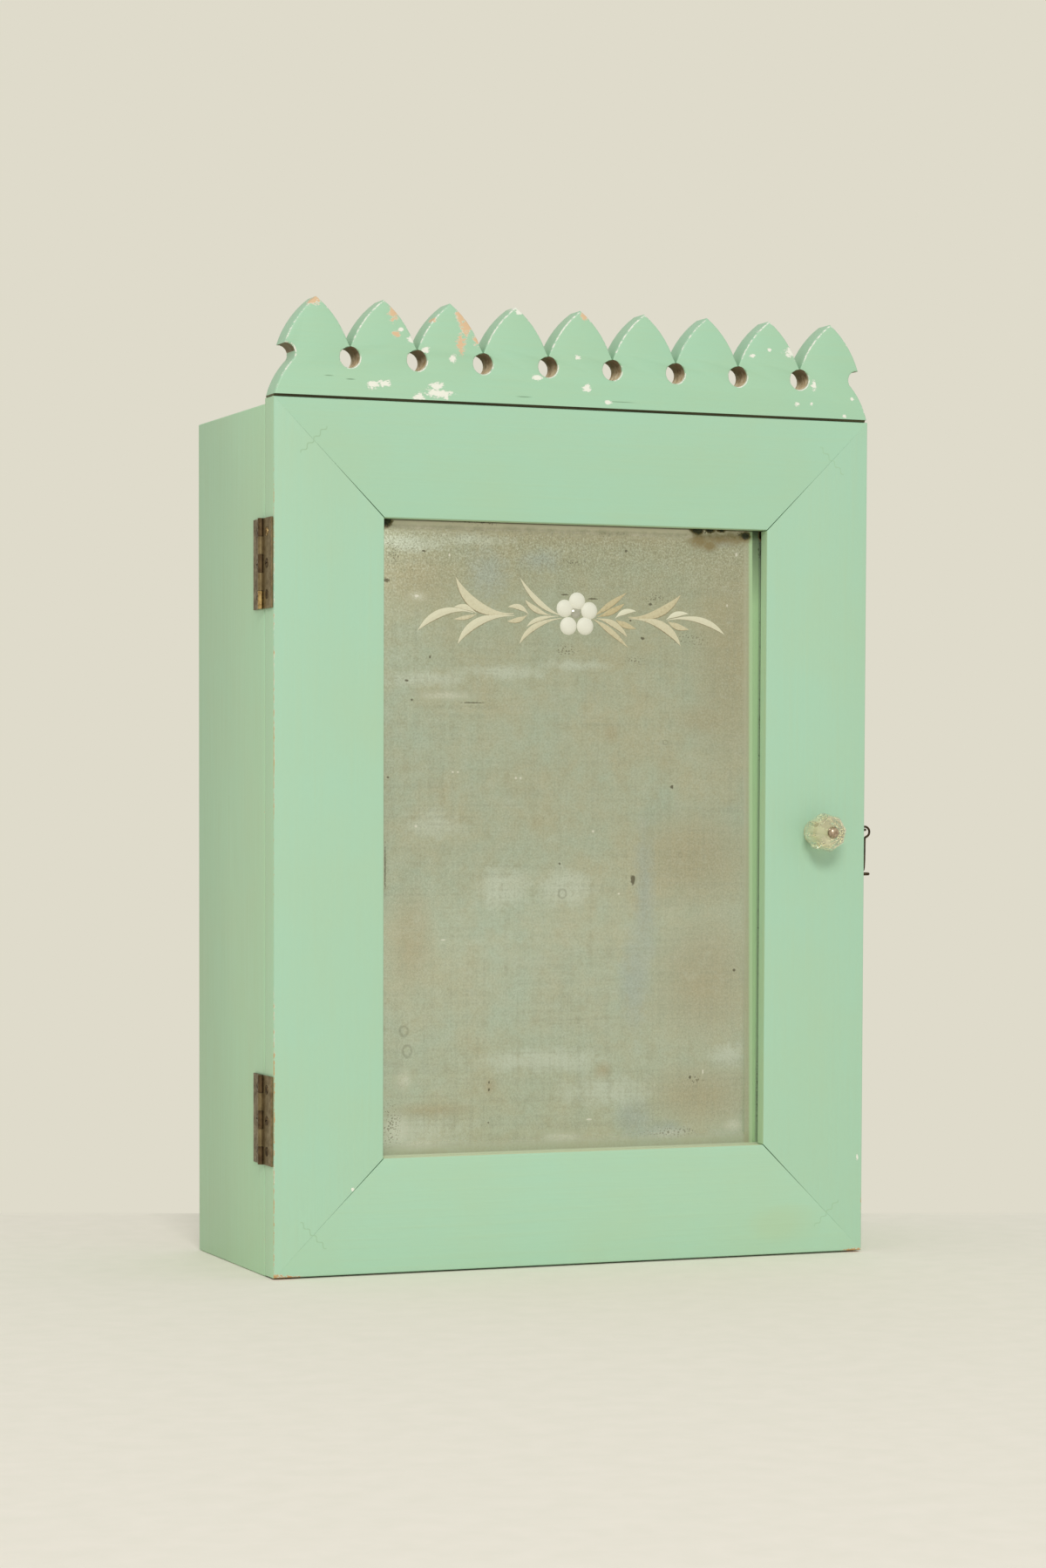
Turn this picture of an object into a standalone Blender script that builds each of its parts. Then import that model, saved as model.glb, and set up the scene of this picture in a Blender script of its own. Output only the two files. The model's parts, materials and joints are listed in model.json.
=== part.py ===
"""Wall cabinet with a mirror door, a sawn crest, surface butt hinges, a glass knob and a wire hook.

Metres, +Z up. The front faces -Y. The origin is the middle of the carcass underside.
"""

import math

import bmesh
import bpy
from mathutils import Matrix, Vector

# Clearance between pieces that touch
FIT = 0.0003

# Carcass
CABINET_WIDTH = 0.370
CARCASS_HEIGHT = 0.492
CARCASS_DEPTH = 0.128
BOARD_THICKNESS = 0.014
SHELF_THICKNESS = 0.010
BACK_THICKNESS = 0.004
HOUSING_DEPTH = 0.005
SHELF_SETBACK = 0.006
LOWER_SHELF_HEIGHT = 0.160
UPPER_SHELF_HEIGHT = 0.322

# Door frame
DOOR_RISE = 0.0030
DOOR_THICKNESS = 0.016
DOOR_LIFT = 0.0006
DOOR_GAP = 0.0005
FRAME_WIDTH = 0.0655
RABBET_WIDTH = 0.0075
MITRE_GAP = 0.0003

# Mirror, its backing and the brads that hold both in the rabbet
MIRROR_THICKNESS = 0.003
BACKING_THICKNESS = 0.0025
BRAD_RADIUS = 0.0006
BRAD_LENGTH = 0.012
BRAD_GRIP = 0.0055
BRAD_SPACING = 0.190

# Corrugated fasteners across the mitres
FASTENER_LENGTH = 0.022
FASTENER_DEPTH = 0.010
FASTENER_GAUGE = 0.0006
FASTENER_WAVE = 0.0009
FASTENER_WAVES = 4
FASTENER_INSET = 0.0235
FASTENER_SINK = 0.0003

# Crest board
CREST_GAP = 0.0013
CREST_THICKNESS = 0.016
CREST_HEIGHT = 0.055
CREST_INSET = 0.0005
ARCH_COUNT = 9
ARCH_PITCH = 0.040
ARCH_FLANK_RADIUS = 0.055
ARCH_SPRING = 0.0284
HOLE_RADIUS = 0.006
HOLE_RISE = 0.022
SLIT_WIDTH = 0.0010
FOOT_RADIUS = 0.045
NECK_INSET = 0.0100
NECK_RISE = 0.0187
SCOOP_RADIUS = 0.0054
LIP_INSET = 0.0059

# Cleat that carries the crest, and its screws
CLEAT_HEIGHT = 0.018
CLEAT_DEPTH = 0.019
CLEAT_INSET = 0.030
CLEAT_SCREW_INSET = 0.045
CREST_SCREW_INSET = 0.095
CLEAT_SCREW_GRIP = 0.009
CLEAT_HEAD_RADIUS = 0.0036
CLEAT_SHANK_RADIUS = 0.0017
SCREW_RIM = 0.0002
SCREW_POINT = 0.003

# Butt hinges, both leaves face-fixed on the left
HINGE_HEIGHT = 0.0508
LEAF_WIDTH = 0.0165
LEAF_THICKNESS = 0.0010
BARREL_RADIUS = 0.0018
PIN_RADIUS = 0.0009
PIN_CHAMFER = 0.0002
KNUCKLES = 5
HINGE_SETBACK = 0.0010
UPPER_HINGE_DROP = 0.0924
LOWER_HINGE_RISE = 0.0886
HINGE_SCREW_PITCH = 0.0175
HINGE_SCREW_REACH = 0.0082
HINGE_SCREW_LENGTH = 0.0100
HINGE_HEAD_RADIUS = 0.0025
HINGE_SHANK_RADIUS = 0.0012

# Pressed-glass knob on a through bolt
KNOB_HEIGHT = 0.2516
KNOB_RADIUS = 0.0117
KNOB_LENGTH = 0.0236
KNOB_BELLY_HEIGHT = 0.0150
KNOB_LAND = 0.0012
KNOB_NECK_RADIUS = 0.0066
KNOB_NECK_HEIGHT = 0.0046
KNOB_FOOT_RADIUS = 0.0078
KNOB_FOOT_HEIGHT = 0.0014
KNOB_FLUTES = 8
KNOB_FLUTE_DEPTH = 0.0009
BOLT_RADIUS = 0.0020
BOLT_HEAD_RADIUS = 0.0041
BOLT_HEAD_HEIGHT = 0.0030
NUT_ACROSS_FLATS = 0.0080
NUT_HEIGHT = 0.0032
NUT_SIDES = 6
WASHER_RADIUS = 0.0055
WASHER_THICKNESS = 0.0008
BOLT_END = 0.0010

# Wire hook, the screw eye it hangs in, and the screw eye it drops into
HOOK_EYE_HEIGHT = 0.2528
HOOK_EYE_SETBACK = 0.0065
HOOK_EYE_STAND = 0.0086
HOOK_EYE_RADIUS = 0.0033
HOOK_EYE_WIRE = 0.00085
HOOK_LOOP_RADIUS = 0.0032
HOOK_WIRE = 0.00075
HOOK_REACH = 0.0255
HOOK_TIP = 0.0062
LATCH_EYE_HEIGHT = 0.2265
LATCH_EYE_STAND = 0.0039
LATCH_EYE_RADIUS = 0.0026
LATCH_EYE_WIRE = 0.0010
EYE_GRIP = 0.010
BEND_RADIUS = 0.0013
RING_OPENING = math.radians(40)

# Facets
TURN_STEPS = 20
SMALL_STEPS = 12
HOLE_STEPS = 20
ARC_STEPS = 7
BEND_STEPS = 4
DOME_STEPS = 5
WAVE_STEPS = 6
FLUTE_STEPS = 6
WIRE_SIDES = 2

# Places worked out from the sizes above
HALF_WIDTH = CABINET_WIDTH / 2
CARCASS_FRONT = -CARCASS_DEPTH / 2
CARCASS_BACK = CARCASS_DEPTH / 2
DOOR_BACK = CARCASS_FRONT - DOOR_GAP
DOOR_FRONT = DOOR_BACK - DOOR_THICKNESS
DOOR_TOP = CARCASS_HEIGHT + DOOR_RISE
DOOR_HEIGHT = DOOR_TOP - DOOR_LIFT
RABBET_INSET = FRAME_WIDTH - RABBET_WIDTH
RABBET_DEPTH = MIRROR_THICKNESS + BACKING_THICKNESS + 2 * BRAD_RADIUS + 4 * FIT
LIP_BACK = DOOR_BACK - RABBET_DEPTH
MIRROR_FRONT = LIP_BACK + FIT
BACKING_FRONT = MIRROR_FRONT + MIRROR_THICKNESS + FIT
BRAD_DEPTH = BACKING_FRONT + BACKING_THICKNESS + FIT + BRAD_RADIUS
CREST_BOTTOM = DOOR_TOP + CREST_GAP
CREST_BACK = DOOR_FRONT + CREST_THICKNESS
CLEAT_FRONT = CREST_BACK + FIT
CLEAT_BACK = CLEAT_FRONT + CLEAT_DEPTH
CLEAT_BOTTOM = CARCASS_HEIGHT + FIT
CLEAT_TOP = CLEAT_BOTTOM + CLEAT_HEIGHT
AXIS_STAND = BARREL_RADIUS + FIT
HINGE_AXIS = Vector((-HALF_WIDTH - AXIS_STAND, DOOR_BACK + HINGE_SETBACK, 0))
LEAF_FACE = -HALF_WIDTH - FIT - LEAF_THICKNESS
HINGE_HEIGHTS = {"upper": DOOR_TOP - UPPER_HINGE_DROP, "lower": DOOR_LIFT + LOWER_HINGE_RISE}
KNOB_PLACE = HALF_WIDTH - FRAME_WIDTH / 2
HOOK_PIVOT = Vector((
    HALF_WIDTH + HOOK_EYE_STAND + HOOK_EYE_RADIUS,
    CARCASS_FRONT + HOOK_EYE_SETBACK,
    HOOK_EYE_HEIGHT,
))
HOOK_DROP = HOOK_LOOP_RADIUS - HOOK_WIRE - HOOK_EYE_WIRE - FIT


def linear(channel):
    """One sRGB channel, 0 to 255, as the linear value that a shader takes."""
    value = channel / 255
    return value / 12.92 if value <= 0.04045 else ((value + 0.055) / 1.055) ** 2.4


def look(name, red, green, blue, roughness, metallic=0.0, transmission=0.0):
    """A Principled material of one colour."""
    made = bpy.data.materials.new(name)
    made.use_nodes = True
    shader = made.node_tree.nodes["Principled BSDF"]
    shader.inputs["Base Color"].default_value = (linear(red), linear(green), linear(blue), 1)
    shader.inputs["Roughness"].default_value = roughness
    shader.inputs["Metallic"].default_value = metallic
    shader.inputs["Transmission Weight"].default_value = transmission
    return made


def add(name, bm, material, location=(0, 0, 0), rotation=(0, 0, 0), smooth=False):
    """Turns a bmesh into a named object with its faces pointing out."""
    bmesh.ops.recalc_face_normals(bm, faces=bm.faces)
    mesh = bpy.data.meshes.new(name)
    bm.to_mesh(mesh)
    bm.free()
    if smooth:
        mesh.shade_smooth()
        mesh.set_sharp_from_angle(angle=math.radians(40))
    made = bpy.data.objects.new(name, mesh)
    made.location = location
    made.rotation_euler = rotation
    bpy.context.collection.objects.link(made)
    if material:
        mesh.materials.append(material)
    return made


def cutter(name, bm, location=(0, 0, 0), rotation=(0, 0, 0)):
    """An object that only cuts others."""
    made = add(name, bm, None, location, rotation)
    made.hide_render = True
    made.display_type = "WIRE"
    return made


def cut(target, *tools):
    """Takes each tool's shape out of the target."""
    for tool in tools:
        modifier = target.modifiers.new(tool.name, "BOOLEAN")
        modifier.operation = "DIFFERENCE"
        modifier.object = tool


def carry(parent, *children):
    """Parents pieces to an empty and leaves them where they are."""
    for child in children:
        child.parent = parent
        child.location = child.location - parent.location


def block(low, high):
    """A box between two corners."""
    bm = bmesh.new()
    bmesh.ops.create_cube(bm, size=1)
    size = Vector(high) - Vector(low)
    middle = (Vector(high) + Vector(low)) / 2
    bmesh.ops.scale(bm, vec=size, verts=bm.verts)
    bmesh.ops.translate(bm, vec=middle, verts=bm.verts)
    return bm


def sheet(outline, front, back):
    """An outline in X and Z, extruded along Y."""
    bm = bmesh.new()
    face = bm.faces.new([bm.verts.new((x, front, z)) for x, z in outline])
    grown = bmesh.ops.extrude_face_region(bm, geom=[face])["geom"]
    moved = [item for item in grown if isinstance(item, bmesh.types.BMVert)]
    bmesh.ops.translate(bm, vec=(0, back - front, 0), verts=moved)
    return bm


def turned(profile, steps=TURN_STEPS, closed=False):
    """A profile of (radius, height) points, turned about Z. A closed profile leaves a bore."""
    bm = bmesh.new()
    points = [bm.verts.new((radius, 0, height)) for radius, height in profile]
    following = points[1:] + points[:1] if closed else points[1:]
    edges = [bm.edges.new(pair) for pair in zip(points, following)]
    bmesh.ops.spin(bm, geom=points + edges, axis=(0, 0, 1), angle=math.tau, steps=steps, use_merge=True)
    bmesh.ops.remove_doubles(bm, verts=bm.verts, dist=1e-6)
    return bm


def rod(radius, low, high, steps=TURN_STEPS):
    """A plain cylinder along Z."""
    return turned([(0, high), (radius, high), (radius, low), (0, low)], steps)


def arc(start, end, radius, side, steps=ARC_STEPS):
    """Points of the minor arc from start to end. Side 1 bulges right of the way, side -1 left."""
    start, end = Vector(start), Vector(end)
    chord = end - start
    half = math.asin(chord.length / 2 / radius)
    right = Vector((chord.y, -chord.x)).normalized()
    centre = (start + end) / 2 - side * right * radius * math.cos(half)
    points = []
    for step in range(steps + 1):
        turn = half * (2 * step / steps - 1)
        spoke = side * right * math.cos(turn) + chord.normalized() * math.sin(turn)
        points.append(tuple(centre + radius * spoke))
    return points


def wire(name, points, radius, material):
    """Round wire along a run of points, with closed ends."""
    data = bpy.data.curves.new(name, "CURVE")
    data.dimensions = "3D"
    data.bevel_depth = radius
    data.bevel_resolution = WIRE_SIDES
    data.use_fill_caps = True
    spline = data.splines.new("POLY")
    spline.points.add(len(points) - 1)
    for point, place in zip(spline.points, points):
        point.co = (*place, 1)
    data.materials.append(material)
    made = bpy.data.objects.new(name, data)
    bpy.context.collection.objects.link(made)
    return made


def eye_path(ring_radius, shank_end, lead=()):
    """A bent wire eye in its own plane: a shank along -U to the ring, whose centre is the origin."""
    neck = math.sqrt(ring_radius ** 2 + 2 * ring_radius * BEND_RADIUS)
    meet = math.asin(BEND_RADIUS / (ring_radius + BEND_RADIUS))
    points = list(lead) or [(shank_end, 0)]
    for step in range(BEND_STEPS + 1):
        angle = -math.pi / 2 + (math.pi / 2 - meet) * step / BEND_STEPS
        points.append((-neck + BEND_RADIUS * math.cos(angle), BEND_RADIUS + BEND_RADIUS * math.sin(angle)))
    first, last = math.pi - meet, -math.pi + RING_OPENING
    for step in range(1, HOLE_STEPS + 1):
        angle = first + (last - first) * step / HOLE_STEPS
        points.append((ring_radius * math.cos(angle), ring_radius * math.sin(angle)))
    return points


def screw_profile(head, shank, length, clearance=0.0, above=0.0):
    """A countersunk screw from its flat head down to its point, or the hole for one."""
    return [
        (0, above),
        (head + clearance, above),
        (head + clearance, -SCREW_RIM),
        (shank + clearance, -SCREW_RIM - head + shank),
        (shank + clearance, SCREW_POINT - length),
        (shank / 4 + clearance, -length - clearance),
        (0, -length - clearance),
    ]


def crest_outline():
    """The sawn outline: ogee ends, and pointed arches parted by keyholes."""
    end = HALF_WIDTH - CREST_INSET
    spring = ARCH_SPRING
    tips = [ARCH_PITCH * (index - (ARCH_COUNT - 1) / 2) for index in range(ARCH_COUNT)]
    foot, neck, lip = (end, 0), (end - NECK_INSET, NECK_RISE), (end - LIP_INSET, spring)
    points = arc(foot, neck, FOOT_RADIUS, 1) + arc(neck, lip, SCOOP_RADIUS, -1)[1:]
    right = lip
    opening = math.asin(SLIT_WIDTH / 2 / HOLE_RADIUS)
    for index, middle in reversed(list(enumerate(tips))):
        tip = (middle, CREST_HEIGHT)
        points += arc(right, tip, ARCH_FLANK_RADIUS, 1)[1:]
        if index == 0:
            break
        valley = middle - ARCH_PITCH / 2
        points += arc(tip, (valley + SLIT_WIDTH / 2, spring), ARCH_FLANK_RADIUS, 1)[1:]
        for step in range(HOLE_STEPS + 1):
            angle = math.pi / 2 - opening - (math.tau - 2 * opening) * step / HOLE_STEPS
            points.append((valley + HOLE_RADIUS * math.cos(angle), HOLE_RISE + HOLE_RADIUS * math.sin(angle)))
        right = (valley - SLIT_WIDTH / 2, spring)
        points.append(right)
    left_end = [(-x, z) for x, z in points[:2 * ARC_STEPS + 1]]
    points += arc(points[-1], left_end[-1], ARCH_FLANK_RADIUS, 1)[1:]
    points += left_end[-2::-1]
    return [(x, CREST_BOTTOM + z) for x, z in points]


def frame_member(along, across, corner, length):
    """One mitred, rabbeted length of door frame, from its outer corner along its outer edge."""
    profile = [
        (0, DOOR_FRONT),
        (FRAME_WIDTH, DOOR_FRONT),
        (FRAME_WIDTH, LIP_BACK),
        (RABBET_INSET, LIP_BACK),
        (RABBET_INSET, DOOR_BACK),
        (0, DOOR_BACK),
    ]
    shy = MITRE_GAP / math.sqrt(2)
    bm = bmesh.new()
    ends = []
    for sign in (1, -1):
        ring = []
        for inset, depth in profile:
            reach = inset + shy if sign == 1 else length - inset - shy
            ring.append(bm.verts.new(corner + along * reach + across * inset + Vector((0, depth, 0))))
        ends.append(ring)
    first, last = ends
    bm.faces.new(first)
    bm.faces.new(last)
    for index in range(len(profile)):
        following = (index + 1) % len(profile)
        bm.faces.new((first[index], first[following], last[following], last[index]))
    return bm


def fastener_outline(centre, lean, clearance=0.0):
    """A corrugated strip seen on edge, centred on a mitre and lying square across it."""
    half = FASTENER_LENGTH / 2 + clearance
    thick = FASTENER_GAUGE / 2 + clearance
    steps = FASTENER_WAVES * WAVE_STEPS
    run = [half * (2 * step / steps - 1) for step in range(steps + 1)]
    swell = [FASTENER_WAVE * math.sin(math.tau * FASTENER_WAVES * place / FASTENER_LENGTH) for place in run]
    edge = [(place, rise + thick) for place, rise in zip(run, swell)]
    edge += [(place, rise - thick) for place, rise in zip(reversed(run), reversed(swell))]
    turn = Matrix.Rotation(lean, 2)
    return [tuple(centre + turn @ Vector(point)) for point in edge]


def hinge_leaf(name, way, knuckles, material):
    """A leaf about its pin axis: way -1 reaches forward over the door, 1 back over the carcass."""
    pitch = HINGE_HEIGHT / KNUCKLES
    outer, inner = AXIS_STAND - FIT - LEAF_THICKNESS, AXIS_STAND - FIT
    clear = BARREL_RADIUS + FIT
    low, high = -HINGE_HEIGHT / 2, HINGE_HEIGHT / 2
    edges = sorted((way * clear, way * LEAF_WIDTH))
    leaf = add(name, block((outer, edges[0], low), (inner, edges[1], high)), material)
    for index in knuckles:
        bottom = low + index * pitch + (FIT / 2 if index else 0)
        top = low + (index + 1) * pitch - (FIT / 2 if index < KNUCKLES - 1 else 0)
        tab_edges = sorted((0, way * (clear + LEAF_THICKNESS)))
        tab = cutter(f"{name}_tab_{index}", block((outer, tab_edges[0], bottom), (inner, tab_edges[1], top)))
        barrel = cutter(f"{name}_barrel_{index}", rod(BARREL_RADIUS, bottom, top))
        for piece in (tab, barrel):
            modifier = leaf.modifiers.new(piece.name, "BOOLEAN")
            modifier.operation = "UNION"
            modifier.object = piece
            carry(leaf, piece)
    bore = cutter(f"{name}_bore", rod(PIN_RADIUS + FIT, low - FIT, high + FIT))
    carry(leaf, bore)
    cut(leaf, bore)
    return leaf


for old in list(bpy.data.objects):
    bpy.data.objects.remove(old)

FRONT_PAINT = look("green_paint", 172, 211, 178, 0.45)
SIDE_PAINT = look("green_paint_side", 163, 190, 152, 0.5)
INNER_PAINT = look("inner_paint", 196, 208, 184, 0.6)
BARE_WOOD = look("bare_wood", 186, 150, 104, 0.75)
SILVER = look("aged_mirror", 168, 170, 152, 0.12, 1.0)
BOARD = look("backing_board", 120, 92, 62, 0.85)
OLD_BRASS = look("old_brass", 110, 92, 58, 0.42, 1.0)
NICKEL = look("nickel", 186, 170, 150, 0.3, 1.0)
IRON = look("dark_wire", 70, 58, 42, 0.5, 1.0)
GLASS = look("pressed_glass", 214, 214, 168, 0.06, 0.0, 1.0)

# Carcass boards: the sides take the top, bottom, shelves and back in grooves
inner_face = HALF_WIDTH - BOARD_THICKNESS
housed = inner_face + HOUSING_DEPTH
back_front = CARCASS_BACK - BACK_THICKNESS
board_back = back_front - FIT

top_board = add(
    "top_board",
    block(
        (-housed + FIT, CARCASS_FRONT, CARCASS_HEIGHT - BOARD_THICKNESS),
        (housed - FIT, board_back, CARCASS_HEIGHT),
    ),
    SIDE_PAINT,
)
bottom_board = add(
    "bottom_board",
    block((-housed + FIT, CARCASS_FRONT, 0), (housed - FIT, board_back, BOARD_THICKNESS)),
    SIDE_PAINT,
)
back_panel = add(
    "back_panel",
    block((-housed + FIT, back_front, FIT), (housed - FIT, CARCASS_BACK, CARCASS_HEIGHT - FIT)),
    INNER_PAINT,
)
for name, height in (("shelf_lower", LOWER_SHELF_HEIGHT), ("shelf_upper", UPPER_SHELF_HEIGHT)):
    add(
        name,
        block(
            (-housed + FIT, CARCASS_FRONT + SHELF_SETBACK, height),
            (housed - FIT, board_back, height + SHELF_THICKNESS),
        ),
        INNER_PAINT,
    )

beyond = 0.01
sides = {}
for name, way in (("side_left", -1), ("side_right", 1)):
    edges = sorted((way * HALF_WIDTH, way * inner_face))
    corners = (edges[0], CARCASS_FRONT, 0), (edges[1], CARCASS_BACK, CARCASS_HEIGHT)
    side = add(name, block(*corners), SIDE_PAINT)
    groove = sorted((way * housed, way * (inner_face - beyond)))
    # Each groove is as deep and as high as what it takes, and the back's runs full height
    housings = (
        ("bottom", CARCASS_FRONT - beyond, board_back, -beyond, BOARD_THICKNESS + FIT),
        ("lower", CARCASS_FRONT - beyond, board_back, LOWER_SHELF_HEIGHT - FIT,
         LOWER_SHELF_HEIGHT + SHELF_THICKNESS + FIT),
        ("upper", CARCASS_FRONT - beyond, board_back, UPPER_SHELF_HEIGHT - FIT,
         UPPER_SHELF_HEIGHT + SHELF_THICKNESS + FIT),
        ("top", CARCASS_FRONT - beyond, board_back, CARCASS_HEIGHT - BOARD_THICKNESS - FIT,
         CARCASS_HEIGHT + beyond),
        ("back", board_back, CARCASS_BACK + beyond, -beyond, CARCASS_HEIGHT + beyond),
    )
    for place, near, far, low, high in housings:
        cut(side, cutter(f"{name}_{place}_groove", block((groove[0], near, low), (groove[1], far, high))))
    sides[name] = side

# Crest on its cleat
crest = add("crest", sheet(crest_outline(), DOOR_FRONT, CREST_BACK), FRONT_PAINT)
cleat_half = HALF_WIDTH - CLEAT_INSET
crest_cleat = add(
    "crest_cleat",
    block((-cleat_half, CLEAT_FRONT, CLEAT_BOTTOM), (cleat_half, CLEAT_BACK, CLEAT_TOP)),
    SIDE_PAINT,
)
crest_screw_height = (CREST_BOTTOM + CLEAT_TOP) / 2
for word, way in (("left", -1), ("right", 1)):
    fixings = (
        (f"cleat_screw_{word}", top_board, CLEAT_HEIGHT + FIT + CLEAT_SCREW_GRIP, (0, 0, 0),
         (way * (cleat_half - CLEAT_SCREW_INSET), (CLEAT_FRONT + CLEAT_BACK) / 2, CLEAT_TOP)),
        (f"crest_screw_{word}", crest, CLEAT_DEPTH + FIT + CLEAT_SCREW_GRIP, (-math.pi / 2, 0, 0),
         (way * (cleat_half - CREST_SCREW_INSET), CLEAT_BACK, crest_screw_height)),
    )
    for name, board, length, turn, place in fixings:
        size = (CLEAT_HEAD_RADIUS, CLEAT_SHANK_RADIUS, length)
        add(name, turned(screw_profile(*size), SMALL_STEPS), IRON, place, turn, smooth=True)
        hole = cutter(f"{name}_hole", turned(screw_profile(*size, FIT, beyond), SMALL_STEPS), place, turn)
        cut(crest_cleat, hole)
        cut(board, hole)

# Door frame
door_axis = bpy.data.objects.new("door_axis", None)
door_axis.location = HINGE_AXIS
bpy.context.collection.objects.link(door_axis)
right, up = Vector((1, 0, 0)), Vector((0, 0, 1))
bottom_left = Vector((-HALF_WIDTH, 0, DOOR_LIFT))
bottom_right = Vector((HALF_WIDTH, 0, DOOR_LIFT))
top_left = Vector((-HALF_WIDTH, 0, DOOR_TOP))
members = {
    "stile_left": (up, right, bottom_left, DOOR_HEIGHT),
    "stile_right": (up, -right, bottom_right, DOOR_HEIGHT),
    "rail_bottom": (right, up, bottom_left, CABINET_WIDTH),
    "rail_top": (right, -up, top_left, CABINET_WIDTH),
}
frame = {name: add(name, frame_member(*sizes), FRONT_PAINT) for name, sizes in members.items()}
door = list(frame.values())

# Corrugated fasteners, sunk square across each mitre
for row, row_way in (("top", 1), ("bottom", -1)):
    for column, column_way in (("left", -1), ("right", 1)):
        name = f"corner_fastener_{row}_{column}"
        edge = DOOR_TOP if row_way == 1 else DOOR_LIFT
        centre = Vector((column_way * (HALF_WIDTH - FASTENER_INSET), edge - row_way * FASTENER_INSET))
        lean = -row_way * column_way * math.pi / 4
        front = DOOR_FRONT + FASTENER_SINK
        back = front + FASTENER_DEPTH
        door.append(add(name, sheet(fastener_outline(centre, lean), front, back), IRON))
        slot = cutter(
            f"{name}_slot", sheet(fastener_outline(centre, lean, FIT), DOOR_FRONT - beyond, back + FIT)
        )
        cut(frame[f"rail_{row}"], slot)
        cut(frame[f"stile_{column}"], slot)
        door.append(slot)

# Mirror and backing in the rabbet
pane_half = HALF_WIDTH - RABBET_INSET - FIT
pane_low, pane_high = DOOR_LIFT + RABBET_INSET + FIT, DOOR_TOP - RABBET_INSET - FIT
for name, front, thickness, material in (
    ("mirror_glass", MIRROR_FRONT, MIRROR_THICKNESS, SILVER),
    ("mirror_backing", BACKING_FRONT, BACKING_THICKNESS, BOARD),
):
    pane = block((-pane_half, front, pane_low), (pane_half, front + thickness, pane_high))
    door.append(add(name, pane, material))

# Brads, each half in the rabbet's wall and half over the backing
wall = HALF_WIDTH - RABBET_INSET
door_middle = (DOOR_LIFT + DOOR_TOP) / 2
brads = (
    ("brad_top", "rail_top", (0, DOOR_TOP - RABBET_INSET), (0, 0, 0)),
    ("brad_bottom", "rail_bottom", (0, DOOR_LIFT + RABBET_INSET), (math.pi, 0, 0)),
    ("brad_left_upper", "stile_left", (-wall, door_middle + BRAD_SPACING / 2), (0, -math.pi / 2, 0)),
    ("brad_left_lower", "stile_left", (-wall, door_middle - BRAD_SPACING / 2), (0, -math.pi / 2, 0)),
    ("brad_right_upper", "stile_right", (wall, door_middle + BRAD_SPACING / 2), (0, math.pi / 2, 0)),
    ("brad_right_lower", "stile_right", (wall, door_middle - BRAD_SPACING / 2), (0, math.pi / 2, 0)),
)
for name, member, (x, z), turn in brads:
    place = (x, BRAD_DEPTH, z)
    shank = rod(BRAD_RADIUS, BRAD_GRIP - BRAD_LENGTH, BRAD_GRIP, SMALL_STEPS)
    door.append(add(name, shank, IRON, place, turn))
    hole = cutter(f"{name}_hole", rod(BRAD_RADIUS + FIT, -beyond, BRAD_GRIP + FIT, SMALL_STEPS), place, turn)
    cut(frame[member], hole)
    door.append(hole)

# Butt hinges, their pins and screws
for level, height in HINGE_HEIGHTS.items():
    centre = HINGE_AXIS + Vector((0, 0, height))
    carcass_leaf = hinge_leaf(f"hinge_leaf_carcass_{level}", 1, range(0, KNUCKLES, 2), OLD_BRASS)
    door_leaf = hinge_leaf(f"hinge_leaf_door_{level}", -1, range(1, KNUCKLES, 2), OLD_BRASS)
    carcass_leaf.location = centre
    door_leaf.location = centre
    door.append(door_leaf)
    pin_half = HINGE_HEIGHT / 2
    pin = [
        (0, pin_half),
        (PIN_RADIUS - PIN_CHAMFER, pin_half),
        (PIN_RADIUS, pin_half - PIN_CHAMFER),
        (PIN_RADIUS, PIN_CHAMFER - pin_half),
        (PIN_RADIUS - PIN_CHAMFER, -pin_half),
        (0, -pin_half),
    ]
    add(f"hinge_pin_{level}", turned(pin, SMALL_STEPS), OLD_BRASS, centre, smooth=True)
    size = (HINGE_HEAD_RADIUS, HINGE_SHANK_RADIUS, HINGE_SCREW_LENGTH)
    for owner, way, leaf, board in (
        ("carcass", 1, carcass_leaf, sides["side_left"]),
        ("door", -1, door_leaf, frame["stile_left"]),
    ):
        for index in range(3):
            name = f"hinge_screw_{owner}_{level}_{index + 1}"
            rise = (1 - index) * HINGE_SCREW_PITCH
            place = (LEAF_FACE, HINGE_AXIS.y + way * HINGE_SCREW_REACH, height + rise)
            turn = (0, -math.pi / 2, 0)
            screw = add(name, turned(screw_profile(*size), SMALL_STEPS), OLD_BRASS, place, turn, smooth=True)
            hole = cutter(f"{name}_hole", turned(screw_profile(*size, FIT, beyond), SMALL_STEPS), place, turn)
            cut(leaf, hole)
            cut(board, hole)
            if owner == "door":
                door += [screw, hole]

# Knob: a fluted glass head on a waisted neck, drawn up by a through bolt
knob_place = (KNOB_PLACE, DOOR_FRONT, KNOB_HEIGHT)
outward = (math.pi / 2, 0, 0)
bore = BOLT_RADIUS + FIT
seat = BOLT_HEAD_RADIUS + 2 * FIT
land = seat + KNOB_LAND
quarter = [math.pi / 2 * step / DOME_STEPS for step in range(DOME_STEPS + 1)]
crown = [
    (land + (KNOB_RADIUS - land) * math.sin(angle),
     KNOB_BELLY_HEIGHT + (KNOB_LENGTH - KNOB_BELLY_HEIGHT) * math.cos(angle))
    for angle in quarter
]
underside = [
    (KNOB_NECK_RADIUS + (KNOB_RADIUS - KNOB_NECK_RADIUS) * math.cos(angle),
     KNOB_BELLY_HEIGHT - (KNOB_BELLY_HEIGHT - KNOB_NECK_HEIGHT) * math.sin(angle))
    for angle in quarter[1:]
]
foot = [(KNOB_FOOT_RADIUS, KNOB_FOOT_HEIGHT), (KNOB_FOOT_RADIUS, FIT)]
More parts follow.
